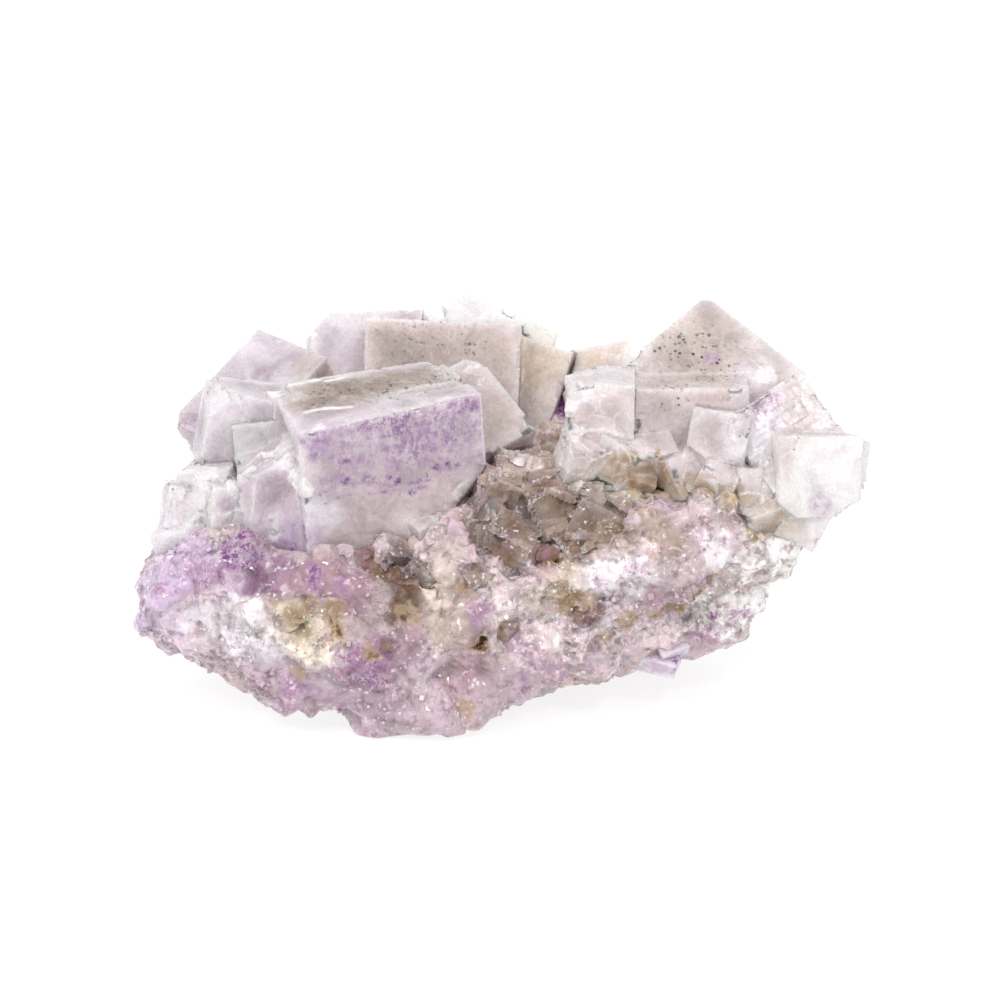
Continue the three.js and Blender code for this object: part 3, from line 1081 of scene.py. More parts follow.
# %% What differs from group to group
GROUPS = {
    # node: slot, body colour, clearness, roughness, step height in mm, chips, painted rim light and
    # frost, shattered
    "front_purple_cubes": ("violet_fluorite", (218, 203, 212), 0.26, 0.16, 0.045, 1.0, 0.45, False),
    "right_pale_cubes": ("pale_fluorite", (226, 214, 213), 0.24, 0.16, 0.045, 1.0, 0.35, False),
    "rear_cubes": ("pale_fluorite", (226, 212, 206), 0.18, 0.2, 0.03, 0.5, 0.3, False),
    "left_rear_cube": ("violet_fluorite", (236, 224, 234), 0.28, 0.18, 0.03, 0.6, 0.3, False),
    "rear_crest": ("pale_fluorite", (250, 246, 238), 0.12, 0.2, 0.05, 1.0, 0.4, False),
    "rear_right_crystals": ("pale_fluorite", (234, 227, 210), 0.12, 0.2, 0.05, 1.0, 0.4, False),
    "back_crystals": ("violet_fluorite", (220, 202, 216), 0.12, 0.2, 0.05, 1.0, 0.4, False),
    "left_edge_crystals": ("pale_fluorite", (234, 222, 232), 0.2, 0.18, 0.05, 1.0, 0.4, False),
    "smoky_crystals": ("smoky_fluorite", (150, 124, 104), 0.1, 0.12, 0.06, 1.0, 0.3, True),
    "foot_crystals": ("violet_fluorite", (206, 184, 218), 0.14, 0.14, 0.03, 0.5, 0.4, False),
}

# %% Corners that broke off
BREAKS = {
    # node: blocks to take away (whose cube, place in its frame, edge lengths, turn)
    "front_purple_cubes": [
        # the big cube's top, broken down to its front edge, lowest at the left
        ("big", (0, -4.2, 14.2), (26, 17, 10), (8, -4.2, 0)),
        # its low right corner
        ("big", (10.0, -10.0, -5.5), (4.2, 4.2, 8.0), (12, 0, 45)),
        # the slanted top of the stubby block, and a notch at its left
        ("stub", (-4.3, -1.3, 6.5), (9.6, 9.4, 6), (0, -20.8, 0)),
        ("stub", (-5.2, -4.2, -1.0), (2.4, 2.6, 9), (0, 8, 40)),
        ("above_stub", (-4.4, -3.0, 4.0), (3, 5, 3), (20, -40, 0)),
    ],
    "left_edge_crystals": [
        ("left_edge", (0.5, -4.6, 5.4), (8, 4, 4), (35, 0, 12)),
        ("left_edge", (-3.9, -2.0, -2.0), (2, 5, 5), (0, 20, 20)),
    ],
    "right_pale_cubes": [
        ("mosaic", (-3.8, -3.2, 4.2), (3.4, 3, 2.4), (20, -35, 0)),
        ("small", (1.5, -2.9, -2.6), (6, 2, 3), (35, 0, 15)),
        ("small", (-2.9, -2.6, -2.6), (3, 3, 3.4), (20, 30, 0)),
        ("small", (2.9, -2.9, 2.8), (2.6, 2.4, 3), (0, 30, 40)),
        ("milky", (3.5, 0, -4.5), (8, 9, 3), (0, -35, 0)),
        ("milky", (-3.9, 0, -4.3), (5, 9, 2.4), (0, 38, 0)),
        ("milky", (-4.2, -2.6, 4.0), (3, 3, 2.4), (20, -40, 30)),
    ],
}

# %% Small crystals that grew on
GROWTHS = {
    # node: blocks to join on, in the same way
    "front_purple_cubes": [
        ("frame", (-24.2, -13.2, 18.6), (4.5, 4.0, 6.5), (4, 6, -14)),
        ("frame", (-6.8, -12.2, 18.9), (5.0, 3.0, 3.4), (10, -12, 34)),
    ],
    "left_edge_crystals": [
        ("frame", (-27.2, -12.0, 20.2), (4.6, 5.0, 7.6), (0, 5, 18)),
        ("frame", (-31.6, -13.2, 17.4), (4.4, 4.0, 5.0), (8, -16, -24)),
        ("frame", (-31.8, -11.6, 20.4), (4.0, 3.8, 5.4), (-8, 12, 16)),
    ],
    "foot_crystals": [
        ("frame", (14.9, -15.0, 5.8), (6.2, 2.2, 1.9), (18, 12, -5)),
        ("frame", (12.6, -15.4, 6.6), (3.4, 2.0, 1.8), (-24, 16, 10)),
        ("frame", (17.2, -14.6, 6.9), (3.0, 2.2, 2.0), (32, -12, 24)),
    ],
    "smoky_crystals": [
        # the bed that they share
        ("frame", (2.2, -10.8, 19.8), (9.5, 5.0, 8.6), (-25, 0, 8)),
        ("frame", (9.8, -11.6, 19.6), (8.4, 5.0, 7.4), (-30, 8, -8)),
        ("frame", (0.6, -14.2, 17.0), (7.0, 4.4, 5.6), (-28, 4, 12)),
        ("frame", (6.4, -14.0, 17.4), (8.0, 4.4, 5.6), (-34, -6, 4)),
        ("frame", (3.6, -7.6, 22.6), (8.6, 4.6, 4.4), (-20, 4, 0)),
        # the crystals that stand out of it
        ("frame", (2.5, -7.4, 23.4), (5.8, 4.4, 2.6), (16, 8, 10)),
        ("frame", (-0.8, -11.4, 21.6), (3.6, 4.4, 6.0), (8, 24, 14)),
        ("frame", (4.6, -11.6, 19.4), (4.4, 4.8, 8.0), (-4, -6, 16)),
        ("frame", (7.4, -10.4, 21.6), (3.4, 4.0, 3.6), (20, 30, 24)),
        ("frame", (10.4, -14.0, 18.8), (7.0, 5.4, 6.0), (-14, 22, -16)),
        ("frame", (13.4, -13.2, 20.8), (3.2, 4.0, 4.4), (10, -24, 30)),
        ("frame", (0.4, -15.0, 17.8), (5.0, 4.4, 6.4), (14, 28, -12)),
        ("frame", (-2.0, -18.0, 15.8), (3.4, 3.2, 2.8), (26, -20, 30)),
        ("frame", (7.0, -15.2, 17.6), (4.0, 4.2, 4.6), (30, -14, 38)),
        ("frame", (3.4, -15.8, 16.6), (3.4, 3.6, 4.0), (-18, 36, 12)),
        ("frame", (-3.2, -14.0, 18.6), (3.0, 3.4, 4.0), (-12, 14, 40)),
        ("frame", (-10.8, -14.8, 16.8), (4.2, 3.6, 4.0), (30, 14, 42)),
        ("frame", (-7.8, -17.0, 15.4), (3.6, 3.6, 3.2), (-22, 34, -30)),
    ],
    "right_pale_cubes": [
        # the broken mass that their feet run into
        ("frame", (8.4, -9.8, 25.6), (4.6, 4.0, 4.4), (16, 12, 20)),
        ("frame", (11.8, -9.6, 25.0), (4.8, 4.4, 4.6), (-14, 22, -18)),
        ("frame", (15.2, -9.8, 25.4), (4.6, 4.2, 4.8), (24, -10, 12)),
        ("frame", (18.4, -11.8, 24.8), (4.4, 4.2, 4.4), (-20, -16, 30)),
        ("frame", (21.8, -13.6, 24.4), (4.0, 3.8, 4.4), (12, 26, -24)),
        ("frame", (25.0, -13.8, 23.4), (4.4, 4.0, 4.6), (-18, 8, 16)),
        ("frame", (13.6, -10.8, 23.6), (3.4, 3.4, 3.4), (34, 18, 8)),
        ("frame", (27.4, -13.6, 21.0), (6.6, 4.6, 5.6), (22, -18, 10)),
        ("frame", (30.2, -14.4, 20.4), (4.2, 4.0, 4.4), (-16, 24, -12)),
        ("milky", (3.9, -0.6, 1.2), (1.8, 3.6, 4.6), (0, 6, 4)),
        ("mosaic", (-2.2, -2.4, -3.6), (3.6, 3.0, 3.0), (12, 8, 20)),
        ("wide", (-2.5, -2.6, -3.4), (4.2, 2.8, 3.2), (-8, 10, -14)),
        ("wide", (2.6, -3.0, -3.6), (3.6, 2.6, 3.0), (10, -6, 18)),
    ],
}

# %% [markdown]
# ## A survey of each crystal
# Before anything moves, every vertex is measured once: which cube it belongs to, how far it lies
# from edges and seams, how deep it is worn, and which shard it falls in where the stone is broken.
# Shape and colour both read this survey, so a scar in the shape is also a white scar in the colour.

# %% Survey a crystal
SKIN_CELL = 0.2


def survey(coarse, crystal, chips, shattered, salt):
    """Every vertex measured: its cube, wear, edges and seams, its shard, and how broken it is."""
    owner, local = own_places(coarse, crystal)
    points = places(crystal)
    wear, away, scar, seam = edge_wear(coarse, points, chips, 200 + salt)
    shard = 3.6 if shattered else 2.0
    shards, gap, pick = facets(points, shard, 300 + salt, tilt=0.34, lift=0.4)
    broken = spots(points, CRYSTAL_BREAKS_AND_GLINTS, 0.3, 45, (pick - 0.5) * 0.9)
    seen = SimpleNamespace(points=points, owner=owner, local=local, wear=wear, away=away)
    seen.scar, seen.seam, seen.broken = scar, seam, broken
    seen.shards, seen.gap, seen.pick = shards, gap, pick
    if shattered:
        seen.splinters, _, seen.chip = facets(points, 1.3, 380 + salt, tilt=0.4, lift=0.3)
    return seen


# %% The crystal's relief


def crystal_relief(seen, step, shattered, salt):
    """Growth steps, worn edges, gentle swells, shards where broken, and healed seams, in mm."""
    relief = growth_steps(seen.owner, seen.local, step, 100 + salt) * (1 - seen.broken) - seen.wear
    relief += (billow(seen.points, 6, salt) - 0.5) * 0.14 + seen.broken * (seen.shards - 0.25)
    relief += 0.12 * np.exp(-((seen.seam / 0.35) ** 2))
    if shattered:
        relief += 0.5 * seen.shards + 0.12 * seen.splinters - 0.2
    return relief


# %% [markdown]
# ## Painting a crystal
# A milky crystal is brightest at its rims, where light passes through a thin edge, and darker at the
# heart of a face. Painting that in, with the washes, gives depth that a part see-through shader
# alone doesn't. Frost is the white of broken stone, and it is painted apart, as it is rough as well.

# %% The body colour


def crystal_body(seen, body, rims, shattered, salt):
    """The colour inside the stone: clouds, washes, painted light in the rims and painted shade inside
    each face.
    """
    points = seen.points
    ripple = (billow(points, 2.0, 8) - 0.5) * 0.8
    clouds = () if shattered else ("milk", "haze", "fawn")
    body = drift(points, body, 9.0, 420 + 5 * salt, clouds)
    body = washes(points, body, CRYSTAL_WASHES, ripple)
    if shattered:
        body *= (0.68 + 0.64 * seen.pick)[:, None]
    # painted light: the rims are brightened, as light would pass through a thin edge
    glow = rims * np.exp(-((seen.away / 0.8) ** 2)) * (0.5 + 0.7 * billow(points, 1.5, 330 + salt))
    glow *= 0.3 if shattered else 1.0
    glow += rims * 0.5 * np.exp(-((seen.away / 2.2) ** 2))
    # painted shade: the middle of each face is darkened
    body *= (1.02 - 0.12 * smooth(seen.away, 0.6, 3.5))[:, None]
    return body + (linear((250, 245, 247)) - body) * np.minimum(glow, 1)[:, None]


# %% Frost


def crystal_frost(seen, rims, shattered, salt):
    """How white each vertex is: worn rims and scars, shards, healed seams, and painted lines."""
    points = seen.points
    rim = np.exp(-((seen.away / 0.16) ** 2)) * smooth(billow(points, 1.5, 320 + salt), 0.35, 0.6)
    frost = np.maximum(2 * rims * seen.scar, rims * rim)
    frost = np.maximum(frost, seen.broken * (0.15 + 0.85 * smooth(seen.pick, 0.5, 0.95)))
    healed = np.exp(-((seen.seam / 0.3) ** 2)) * (0.4 + 0.6 * billow(points, 1.2, 350 + salt))
    frost = np.maximum(frost, healed * 2 * rims)
    if shattered:
        frost = 0.15 * frost + seen.broken * smooth(seen.chip, 0.6, 0.7)
        lit = smooth(billow(points, 2.5, 390), 0.45, 0.6)
        frost = np.maximum(frost, 0.5 * lit * (1 - smooth(seen.gap, 0.02, 0.1)))
    frost = np.maximum(frost, strokes(points, FROST_LINES, 0.6, 49))
    return np.maximum(frost, smooth(seen.broken, 0, 0.5) * (1 - smooth(seen.gap, 0.05, 0.25)))


# %% The other tones


def crystal_tone(seen, facing, frost, shattered):
    """Violet, stain and frost, and as the fourth the specks, or how sugary a shattered one is."""
    violet = crystal_violet(seen.points, facing)
    stain = spots(seen.points, CRYSTAL_STAIN, 0.8, 46)
    stain = np.maximum(stain, strokes(seen.points, CRACKS, 0.2, 48))
    if shattered:
        fourth = 0.25 * smooth(billow(seen.points, 3.0, 395), 0.4, 0.6)
    else:
        fourth = spots(seen.points, CRYSTAL_SPECKS, 0.8, 47)
    return np.stack([violet, stain, frost, fourth], axis=1)


# %% [markdown]
# ## Dressing the crystals
# Every group goes through the same steps: a welded copy, broken corners and small crystals, a sharp
# skin, the survey, relief, painting, and a finish. The smoky crystals are shattered all over, so
# they get the finish of the matrix, which has grains and glints.

# %% Dress a crystal group
CRYSTAL_EDGE = math.radians(28)
crystals = {}


def dress(coarse, name, salt, slot, body, clear, rough, step, chips, rims, shattered):
    """Turns a plain welded solid into a finished crystal group."""
    crystal = coarse.copy()
    crystal.data = coarse.data.copy()
    crystal.name = crystal.data.name = name
    bpy.context.scene.collection.objects.link(crystal)
    sharp_skin(crystal, SKIN_CELL)
    seen = survey(coarse, crystal, chips, shattered, salt)
    relieve(crystal, crystal_relief(seen, step, shattered, salt))
    frost = crystal_frost(seen, rims, shattered, salt)
    store(crystal, "body", crystal_body(seen, body, rims, shattered, salt))
    store(crystal, "tone", crystal_tone(seen, normals(crystal), frost, shattered))
    apart = 7.3 * seen.owner[:, None]
    store(crystal, "along", (seen.local + apart) * MM)
    if shattered:
        finish = matrix_finish(name + "_finish", clear)
    else:
        finish = crystal_finish(name + "_finish", clear, rough)
    crystal.data.materials.append(finish)
    only(crystal)
    bpy.ops.object.shade_smooth_by_angle(angle=CRYSTAL_EDGE)
    bpy.data.objects.remove(coarse)
    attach(crystal, "root")
    crystals[name] = crystal
    print(name, "dressed:", len(crystal.data.polygons), "faces")
    return crystal


# %% Dress them all
for salt, (node, settings) in enumerate(GROUPS.items()):
    coarse = welded_copy(node, node + "_plain")
    reshape(coarse, "DIFFERENCE", BREAKS.get(node, []))
    reshape(coarse, "UNION", GROWTHS.get(node, []))
    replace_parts(dress(coarse, node + "_grown", salt, *settings), node)


# %% [markdown]
# ## The matrix
# The matrix is the lump of grains that the cubes stand on. The CAD lump is remeshed and swelled a
# little, so that it closes its seams with the crystals. Pits and creases are sunk where the specimen
# has them. It could be sculpted, but a list of places can be read, and gives the same lump each run.

# %% Pits and creases
PITS = [
    # place, radius, depth
    (-19.2, -21.8, 12.8, 2.8, 0.9),
    (-16.6, -21.7, 13.2, 1.6, 1.1),
    (-2.0, -21.6, 10.7, 0.7, 1.6),
    (0.9, -21.0, 11.3, 1.1, 0.6),
    (-11.5, -16.5, 17.0, 2.8, 0.9),
    (-9.5, -21.8, 14.0, 2.0, 0.5),
    (-3.8, -19.8, 16.0, 1.8, 0.6),
    (6.5, -19.8, 14.0, 2.2, 0.5),
    (8.8, -16.4, 20.4, 4.0, 2.4),
    (4.0, -15.0, 19.6, 4.0, 2.2),
    (0.4, -16.4, 18.4, 3.0, 1.6),
    (-2.0, -14.4, 20.4, 3.2, 1.8),
    (-1.9, -18.6, 15.8, 1.8, 1.0),
]
CREASES = [
    # overhung seams of the matrix: the long one at the right, and one under the big cube
    (
        [(8.6, -19.4, 9.2), (11.4, -18.8, 10.6), (14.4, -17.9, 11.8), (17.6, -16.8, 12.8)]
        + [(19.6, -16.3, 14.0), (21.2, -16.5, 15.9)],
        0.8,
        0.5,
    ),
    ([(-12.6, -16.6, 17.4), (-10.0, -16.6, 16.4), (-7.0, -18.6, 15.2), (-3.8, -19.8, 15.8)], 1.3, 0.9),
    ([(-10.4, -22.2, 14.2), (-9.4, -22.0, 12.2), (-10.6, -22.4, 10.6), (-12.6, -23.0, 9.4)], 0.8, 0.6),
    ([(14.4, -8.6, 23.8), (18.2, -11.6, 23.2), (22.0, -14.6, 22.4), (26.6, -15.4, 21.0)], 1.1, 0.6),
]

# %% Where grains climb and blades stand
CLIMBS = [
    # where larger grains climb the foot of the crystals
    (
        [(6.4, -9.2, 25.4), (11.0, -9.4, 25.0), (15.6, -9.4, 24.6), (18.6, -11.8, 24.4)]
        + [(22.6, -14.0, 24.2), (25.8, -14.4, 23.0), (29.6, -14.6, 20.4)],
        2.4,
        1.0,
    ),
    ([(-7.8, -16.0, 18.4), (-5.4, -15.2, 19.8), (-3.6, -14.4, 20.6)], 1.6, 1.0),
    (
        [(-33.0, -14.4, 16.6), (-28.4, -16.4, 18.2), (-24.0, -17.4, 18.2), (-17.6, -17.4, 17.8)],
        1.5,
        0.9,
    ),
    ([(-17.6, -17.4, 17.8), (-13.0, -16.6, 18.6), (-9.0, -16.2, 18.4)], 1.3, 0.9),
]
BLADES = [
    # the straw-coloured rosette in the left pit: place, length, turn
    (-19.9, -21.9, 12.9, 3.2, (10, -50, 20)),
    (-19.0, -22.2, 12.2, 3.0, (-20, -62, 0)),
    (-18.4, -22.3, 11.5, 3.0, (24, -40, -20)),
    (-20.3, -21.8, 11.8, 2.8, (30, -72, 30)),
    (-18.9, -21.9, 13.5, 2.4, (-30, -28, 10)),
    (-17.6, -22.2, 12.6, 2.2, (40, -58, 40)),
    (-19.4, -22.4, 10.8, 2.6, (0, -44, 10)),
    (-20.8, -21.6, 13.6, 2.0, (14, -84, 0)),
]

# %% [markdown]
# ## One fused skin
# The straw-coloured rosette in the left pit is a handful of thin blades. They are made as blocks and
# joined to the lump, and one voxel remesh fuses all of it into a single closed skin, fine enough for
# the grains. A Boolean union would keep the CAD lump's large triangles, which can't carry grains.

# %% Sink, join, fuse
LUMP_VOXEL = 0.5 * MM
SKIN_VOXEL = 0.26 * MM
BLADE_WIDTH, BLADE_THICKNESS = 1.3, 0.5
plain_matrix = welded_copy("matrix", "matrix_plain")
matrix = welded_copy("matrix", "matrix_grown")
apply_modifier(matrix, "REMESH", mode="VOXEL", voxel_size=LUMP_VOXEL)
points = places(matrix)
sunk = np.maximum(spots(points, PITS, 0.6), strokes(points, CREASES, 0.7))
swell = 0.35 + 1.2 * (billow(points, 8.0, 55) - 0.5)
above_cut = smooth(points[:, 2], 0.0, 2.5)
relieve(matrix, swell * above_cut - sunk)
blades = [
    block(f"blade_{i}", "frame", at, (long, BLADE_WIDTH, BLADE_THICKNESS), turn)
    for i, (*at, long, turn) in enumerate(BLADES)
]
only(matrix)
for blade in blades:
    blade.select_set(True)
bpy.ops.object.join()
apply_modifier(matrix, "REMESH", mode="VOXEL", voxel_size=SKIN_VOXEL)
print("matrix fused:", len(matrix.data.polygons), "faces")

# %% [markdown]
# ## Where the matrix's colours lie
# The left end is glassy and lilac, the right end warm white sugar, whitened further with painted light
# where its low rim faces down, and between them mauve ground with brown hollows. Iron-rich water left
# brown and yellow stain in pits and seams.

# %% Washes on the matrix
GROUND = (206, 188, 192)
GROUND_TINTS = ("haze", "milk", "sand", "lilac", "mauve")
MATRIX_WASHES = [
    # the glassy lilac left end, the plum ground under the stubby block, the pale shelf below
    ("lilac", 5.0, [(-35, -16, 13), (-32, -18, 16)]),
    ("lilac", 3.0, [(-29, -19, 17), (-27, -20, 15)]),
    ("plum", 2.5, [(-25, -19, 18), (-22, -20, 16)]),
    ("violet", 1.6, [(-25.6, -19, 18)]),
    ("mauve", 2.5, [(-21, -20, 17), (-14, -21, 16)]),
    ("milk", 3.5, [(-28, -21, 13), (-23, -22, 10)]),
    ("haze", 3.5, [(-24, -22, 6), (-16, -23, 6)]),
    ("mauve", 1.2, [(-26, -21, 6), (-21, -22, 3), (-15, -22, 2)]),
    # the vug: a straw heart and a dark right wall
    ("cream", 2.5, [(-20, -22, 13), (-19, -22, 11)]),
    ("straw", 1.2, [(-20, -22, 14), (-19, -22, 12)]),
    ("sand", 2.0, [(-17, -22, 12)]),
    # dark ground under the big cube, running down and turning mauve
    ("smoke", 2.5, [(-12, -17, 17), (-10, -20, 16), (-9, -22, 13)]),
    ("umber", 1.5, [(-10, -20, 15), (-9, -22, 13)]),
    ("mauve", 3.0, [(-9, -22, 10), (-13, -23, 7)]),
    ("plum", 1.8, [(-12, -23, 9), (-14, -23, 7)]),
    # the hazy foot
    ("haze", 4.5, [(-12, -23, 2), (-6, -22, 5), (1, -21, 5)]),
    # the middle: a brown notch, then mauve with brown hollows and pale knobs
    ("umber", 1.5, [(-3, -20, 16)]),
    ("mauve", 2.5, [(-3, -21, 13), (-3, -21, 8)]),
    ("fawn", 2.5, [(-6, -18, 18), (-6, -20, 14), (-5, -21, 12)]),
    ("rose", 2.5, [(1, -20, 16), (2, -21, 12)]),
    ("smoke", 1.5, [(5, -18, 18), (8, -18, 19)]),
    ("sand", 2.0, [(4, -20, 14), (8, -19, 17)]),
    ("rose", 3.0, [(4, -20, 9), (8, -20, 10)]),
    # the pale shoulder at the right, over a brown seam
    ("ash", 3.0, [(11, -18, 18), (16, -18, 20)]),
    ("milk", 2.5, [(10, -19, 16), (13, -19, 18), (14, -19, 15)]),
    ("milk", 2.5, [(22, -17, 19), (26, -16, 18)]),
    ("smoke", 1.5, [(7, -20, 14), (9, -20, 13)]),
    ("umber", 1.1, [(-2, -22, 11)]),
    ("mauve", 2.0, [(15, -18, 13), (19, -16, 15)]),
    ("rose", 3.0, [(12, -17, 8), (17, -15, 9)]),
    # painted light: the low right end and its rim, which face down and away, are whitened
    ("frost", 3.5, [(21, -15, 11), (25, -15, 11)]),
    ("frost", 5.0, [(30, -14, 19), (29, -12, 14)]),
    ("cream", 2.5, [(32, -13, 18), (29, -13, 14)]),
    # the smoky hollow's floor, and the tan band under the right cubes
    ("smoke", 5.0, [(1, -12, 19), (10, -13, 21)]),
    ("sand", 6.0, [(5, 1, 24)]),
    ("sand", 3.0, [(16, -10, 24), (25, -15, 22)]),
    ("straw", 2.0, [(13, -10, 24), (20, -13, 23), (26, -16, 21)]),
]

# %% Glassy and violet places
GLASSY = [
    # where the matrix is in smooth glassy blocks instead of sugar
    (-34.0, -17.0, 14.0, 5.0, 1.0),
    (-29.0, -19.0, 12.5, 4.0, 0.8),
    (10.0, -18.4, 17.4, 4.0, 0.9),
    (15.5, -18.0, 19.0, 4.5, 1.0),
    (1.0, -20.0, 16.0, 2.5, 0.8),
    (-14.0, -21.0, 16.5, 2.5, 0.8),
    (-8.5, -22.0, 3.5, 4.0, 0.8),
    (2.0, -20.6, 8.0, 3.5, 0.6),
    (-11.0, -17.5, 17.5, 3.0, 0.8),
]
MATRIX_VIOLET = [
    (-25.6, -18.8, 18.1, 2.2, 1.3),
    (-28.5, -19.6, 16.0, 2.2, 0.6),
    (-33.3, -17.5, 14.6, 1.2, 0.7),
    (-22.0, -19.0, 17.0, 2.0, 0.5),
    (-18.0, -20.4, 16.6, 1.1, 0.85),
    (-15.7, -21.3, 15.9, 1.4, 0.6),
    (-13.6, -22.8, 8.6, 2.8, 0.65),
    (-12.6, -22.7, 7.0, 1.6, 0.8),
    (-20.5, -22.2, 5.6, 2.4, 0.65),
    (-16.0, -22.0, 4.4, 2.0, 0.5),
    (-2.0, -20.8, 13.4, 1.4, 0.55),
    (2.5, -20.6, 9.5, 1.8, 0.5),
    (5.0, -19.5, 7.5, 3.0, 0.45),
    (9.0, -19.2, 8.2, 2.0, 0.4),
    (13.7, -18.5, 17.8, 1.6, 0.35),
    (19.8, -17.0, 15.8, 1.0, 0.7),
    (20.4, -15.0, 8.2, 1.6, 0.5),
    (21.3, -15.6, 10.9, 1.0, 0.9),
    (23.8, -14.7, 10.4, 1.6, 0.5),
    (-11.8, -22.6, 11.1, 1.2, 0.5),
]

# %% Stained places
MATRIX_STAIN = [
    (-16.6, -21.7, 14.0, 1.3, 0.65),
    (-18.8, -21.7, 14.4, 1.2, 0.6),
    (-16.1, -22.1, 11.8, 0.9, 0.9),
    (-20.6, -21.7, 12.6, 1.2, 0.45),
    (-2.0, -21.6, 10.7, 0.9, 1.0),
    (0.6, -21.0, 11.3, 0.9, 0.8),
    (-3.5, -20.0, 15.4, 1.0, 0.6),
    (-9.3, -21.8, 13.8, 1.3, 0.6),
    (6.2, -19.8, 14.2, 1.4, 0.75),
    (8.4, -19.4, 14.0, 1.3, 0.6),
    (19.4, -16.4, 14.0, 1.3, 0.7),
    (21.2, -16.5, 15.9, 1.0, 0.5),
    (17.3, -16.8, 12.8, 1.1, 0.75),
    (15.2, -17.6, 12.1, 1.0, 0.7),
    (12.6, -18.4, 11.4, 1.1, 0.6),
    (10.2, -19.2, 10.0, 1.2, 0.45),
    (18.0, -12.0, 23.0, 1.6, 0.5),
    (26.0, -15.6, 21.0, 1.5, 0.45),
    (28.3, -14.6, 20.6, 1.2, 0.5),
    (14.2, -8.0, 23.6, 1.6, 0.6),
    (12.2, -11.0, 22.2, 1.2, 0.55),
    (-19.7, -22.3, 7.6, 1.3, 0.5),
    (-12.8, -23.0, 9.8, 0.9, 0.7),
    (-3.5, -20.8, 3.4, 1.5, 0.4),
]

print("marks on the matrix:", len(MATRIX_WASHES) + len(MATRIX_VIOLET) + len(MATRIX_STAIN))


# %% [markdown]
# ## Hollows and seats
# Stain gathers in hollows, and painted shade darkens them. A vertex is in a hollow when it lies below
# the average of its neighbourhood, found by smoothing a copy of the places. Colours are looked up at
# the seat, the place on the plain lump under each vertex, so that relief doesn't shift them.

# %% Measure the hollows


def hollowness(obj, reach):
    """How far each vertex lies below the surface around it: 0 level or proud, 1 reach mm deep."""
    points = places(obj)
    average = points.copy()
    pairs = np.empty(len(obj.data.edges) * 2, np.int32)
    obj.data.edges.foreach_get("vertices", pairs)
    a, b = pairs.reshape(-1, 2).T
    degree = np.bincount(np.concatenate([a, b]), minlength=len(points))[:, None]
    for _ in range(24):
        total = [
            np.bincount(a, average[b, i], len(points)) + np.bincount(b, average[a, i], len(points))
            for i in range(3)
        ]
        average = np.stack(total, axis=1) / degree
    return smooth(((average - points) * normals(obj)).sum(axis=1), 0.0, reach)


def seats(obj):
    """The place on the plain matrix that each vertex stands over, in mm."""
    tree = BVHTree.FromObject(plain_matrix, bpy.context.evaluated_depsgraph_get())
    return np.array([tree.find_nearest(Vector(p * MM))[0][:] for p in places(obj)]) / MM


# %% [markdown]
# ## Relief of the matrix
# Intergrown cubes of four sizes are laid over each other. The large ones shape the blocks, and the
# fine ones are the sugar, which the smooth glassy places have little of.

# %% Divide the skin in grains
points = places(matrix)
great, _, great_number = cubes(points, 7.0, 41)
coarse, coarse_gap, coarse_number = cubes(points, 3.4, 51)
middle, middle_gap, middle_number = cubes(points, 1.7, 61)
fine, _, fine_number = cubes(points, 0.8, 71)
sugary = smooth(billow(points, 5.0, 77), 0.44, 0.60) * (1 - spots(points, GLASSY, 0.8, 76))
relief = 0.4 * great + 0.55 * coarse + 0.6 * middle * (0.45 + 0.55 * sugary)
relief += 0.5 * fine * (0.15 + 0.85 * sugary)
relieve(matrix, (relief - np.median(relief)) * smooth(points[:, 2], 0.3, 1.2))
print("sugary share of the matrix:", round(float(sugary.mean()), 2))

# %% [markdown]
# ## Tones of the matrix
# Each grain has its own tone, because its face catches the light its own way, and hollows are darkened
# with painted shade. Both are painted onto the vertices with the washes, so they fit the relief
# exactly.

# %% Body colour, grain by grain
hollow = hollowness(matrix, 0.5)
points = seats(matrix)
ripple = (middle_number - 0.5) * 0.6 + (fine_number - 0.5) * 0.4
ripple += (billow(points, 2.0, 8) - 0.5) * 0.6
ground = drift(points, GROUND, 8.0, 141, GROUND_TINTS)
body = washes(points, ground, MATRIX_WASHES, ripple)
warm = smooth(billow(points, 4.5, 97), 0.42, 0.62)[:, None]
body *= 1 + warm * np.array((0.01, 0.0, -0.04))
tone = 0.94 + 0.2 * (great_number - 0.5) + 0.36 * (coarse_number - 0.5)
tone += 0.36 * (middle_number - 0.5) * (0.6 + 0.4 * sugary)
tone += 0.24 * (fine_number - 0.5) * (0.3 + 0.7 * sugary)
tone -= 0.16 * (1 - smooth(middle_gap, 0.0, 0.18)) * smooth(billow(points, 3.0, 98), 0.5, 0.6)
# painted shade: hollows are darkened, and each grain is lighter or darker as its face would catch the
# light
body *= (tone * (1.04 - 0.22 * hollow))[:, None]
store(matrix, "body", body)

# %% Stain, violet and frost
stain = spots(points, MATRIX_STAIN, 0.7, 71, (fine_number - 0.5) * 0.6)
stain = np.maximum(stain, 0.7 * strokes(points, CREASES, 0.9, 72) * (0.2 + 0.8 * hollow))
stain = np.maximum(stain, 0.3 * hollow * smooth(billow(points, 5, 73), 0.5, 0.7))
behind = smooth(points[:, 1], -10.0, 2.0)
rusty = smooth(billow(points, 5, 75) + 0.3 * (hollow - 0.5), 0.58, 0.7)
stain = np.maximum(stain, 0.7 * behind * rusty)
violet = spots(points, MATRIX_VIOLET, 0.8, 81, (fine_number - 0.5) * 0.6)
violet = np.maximum(violet, 0.3 * smooth(middle_number * billow(points, 7, 83), 0.4, 0.6))
violet = np.maximum(violet, 0.9 * behind * smooth(billow(points, 6, 85), 0.56, 0.68))
rim = (1 - smooth(coarse_gap, 0.0, 0.25)) * smooth(billow(points, 4.0, 93), 0.4, 0.6)
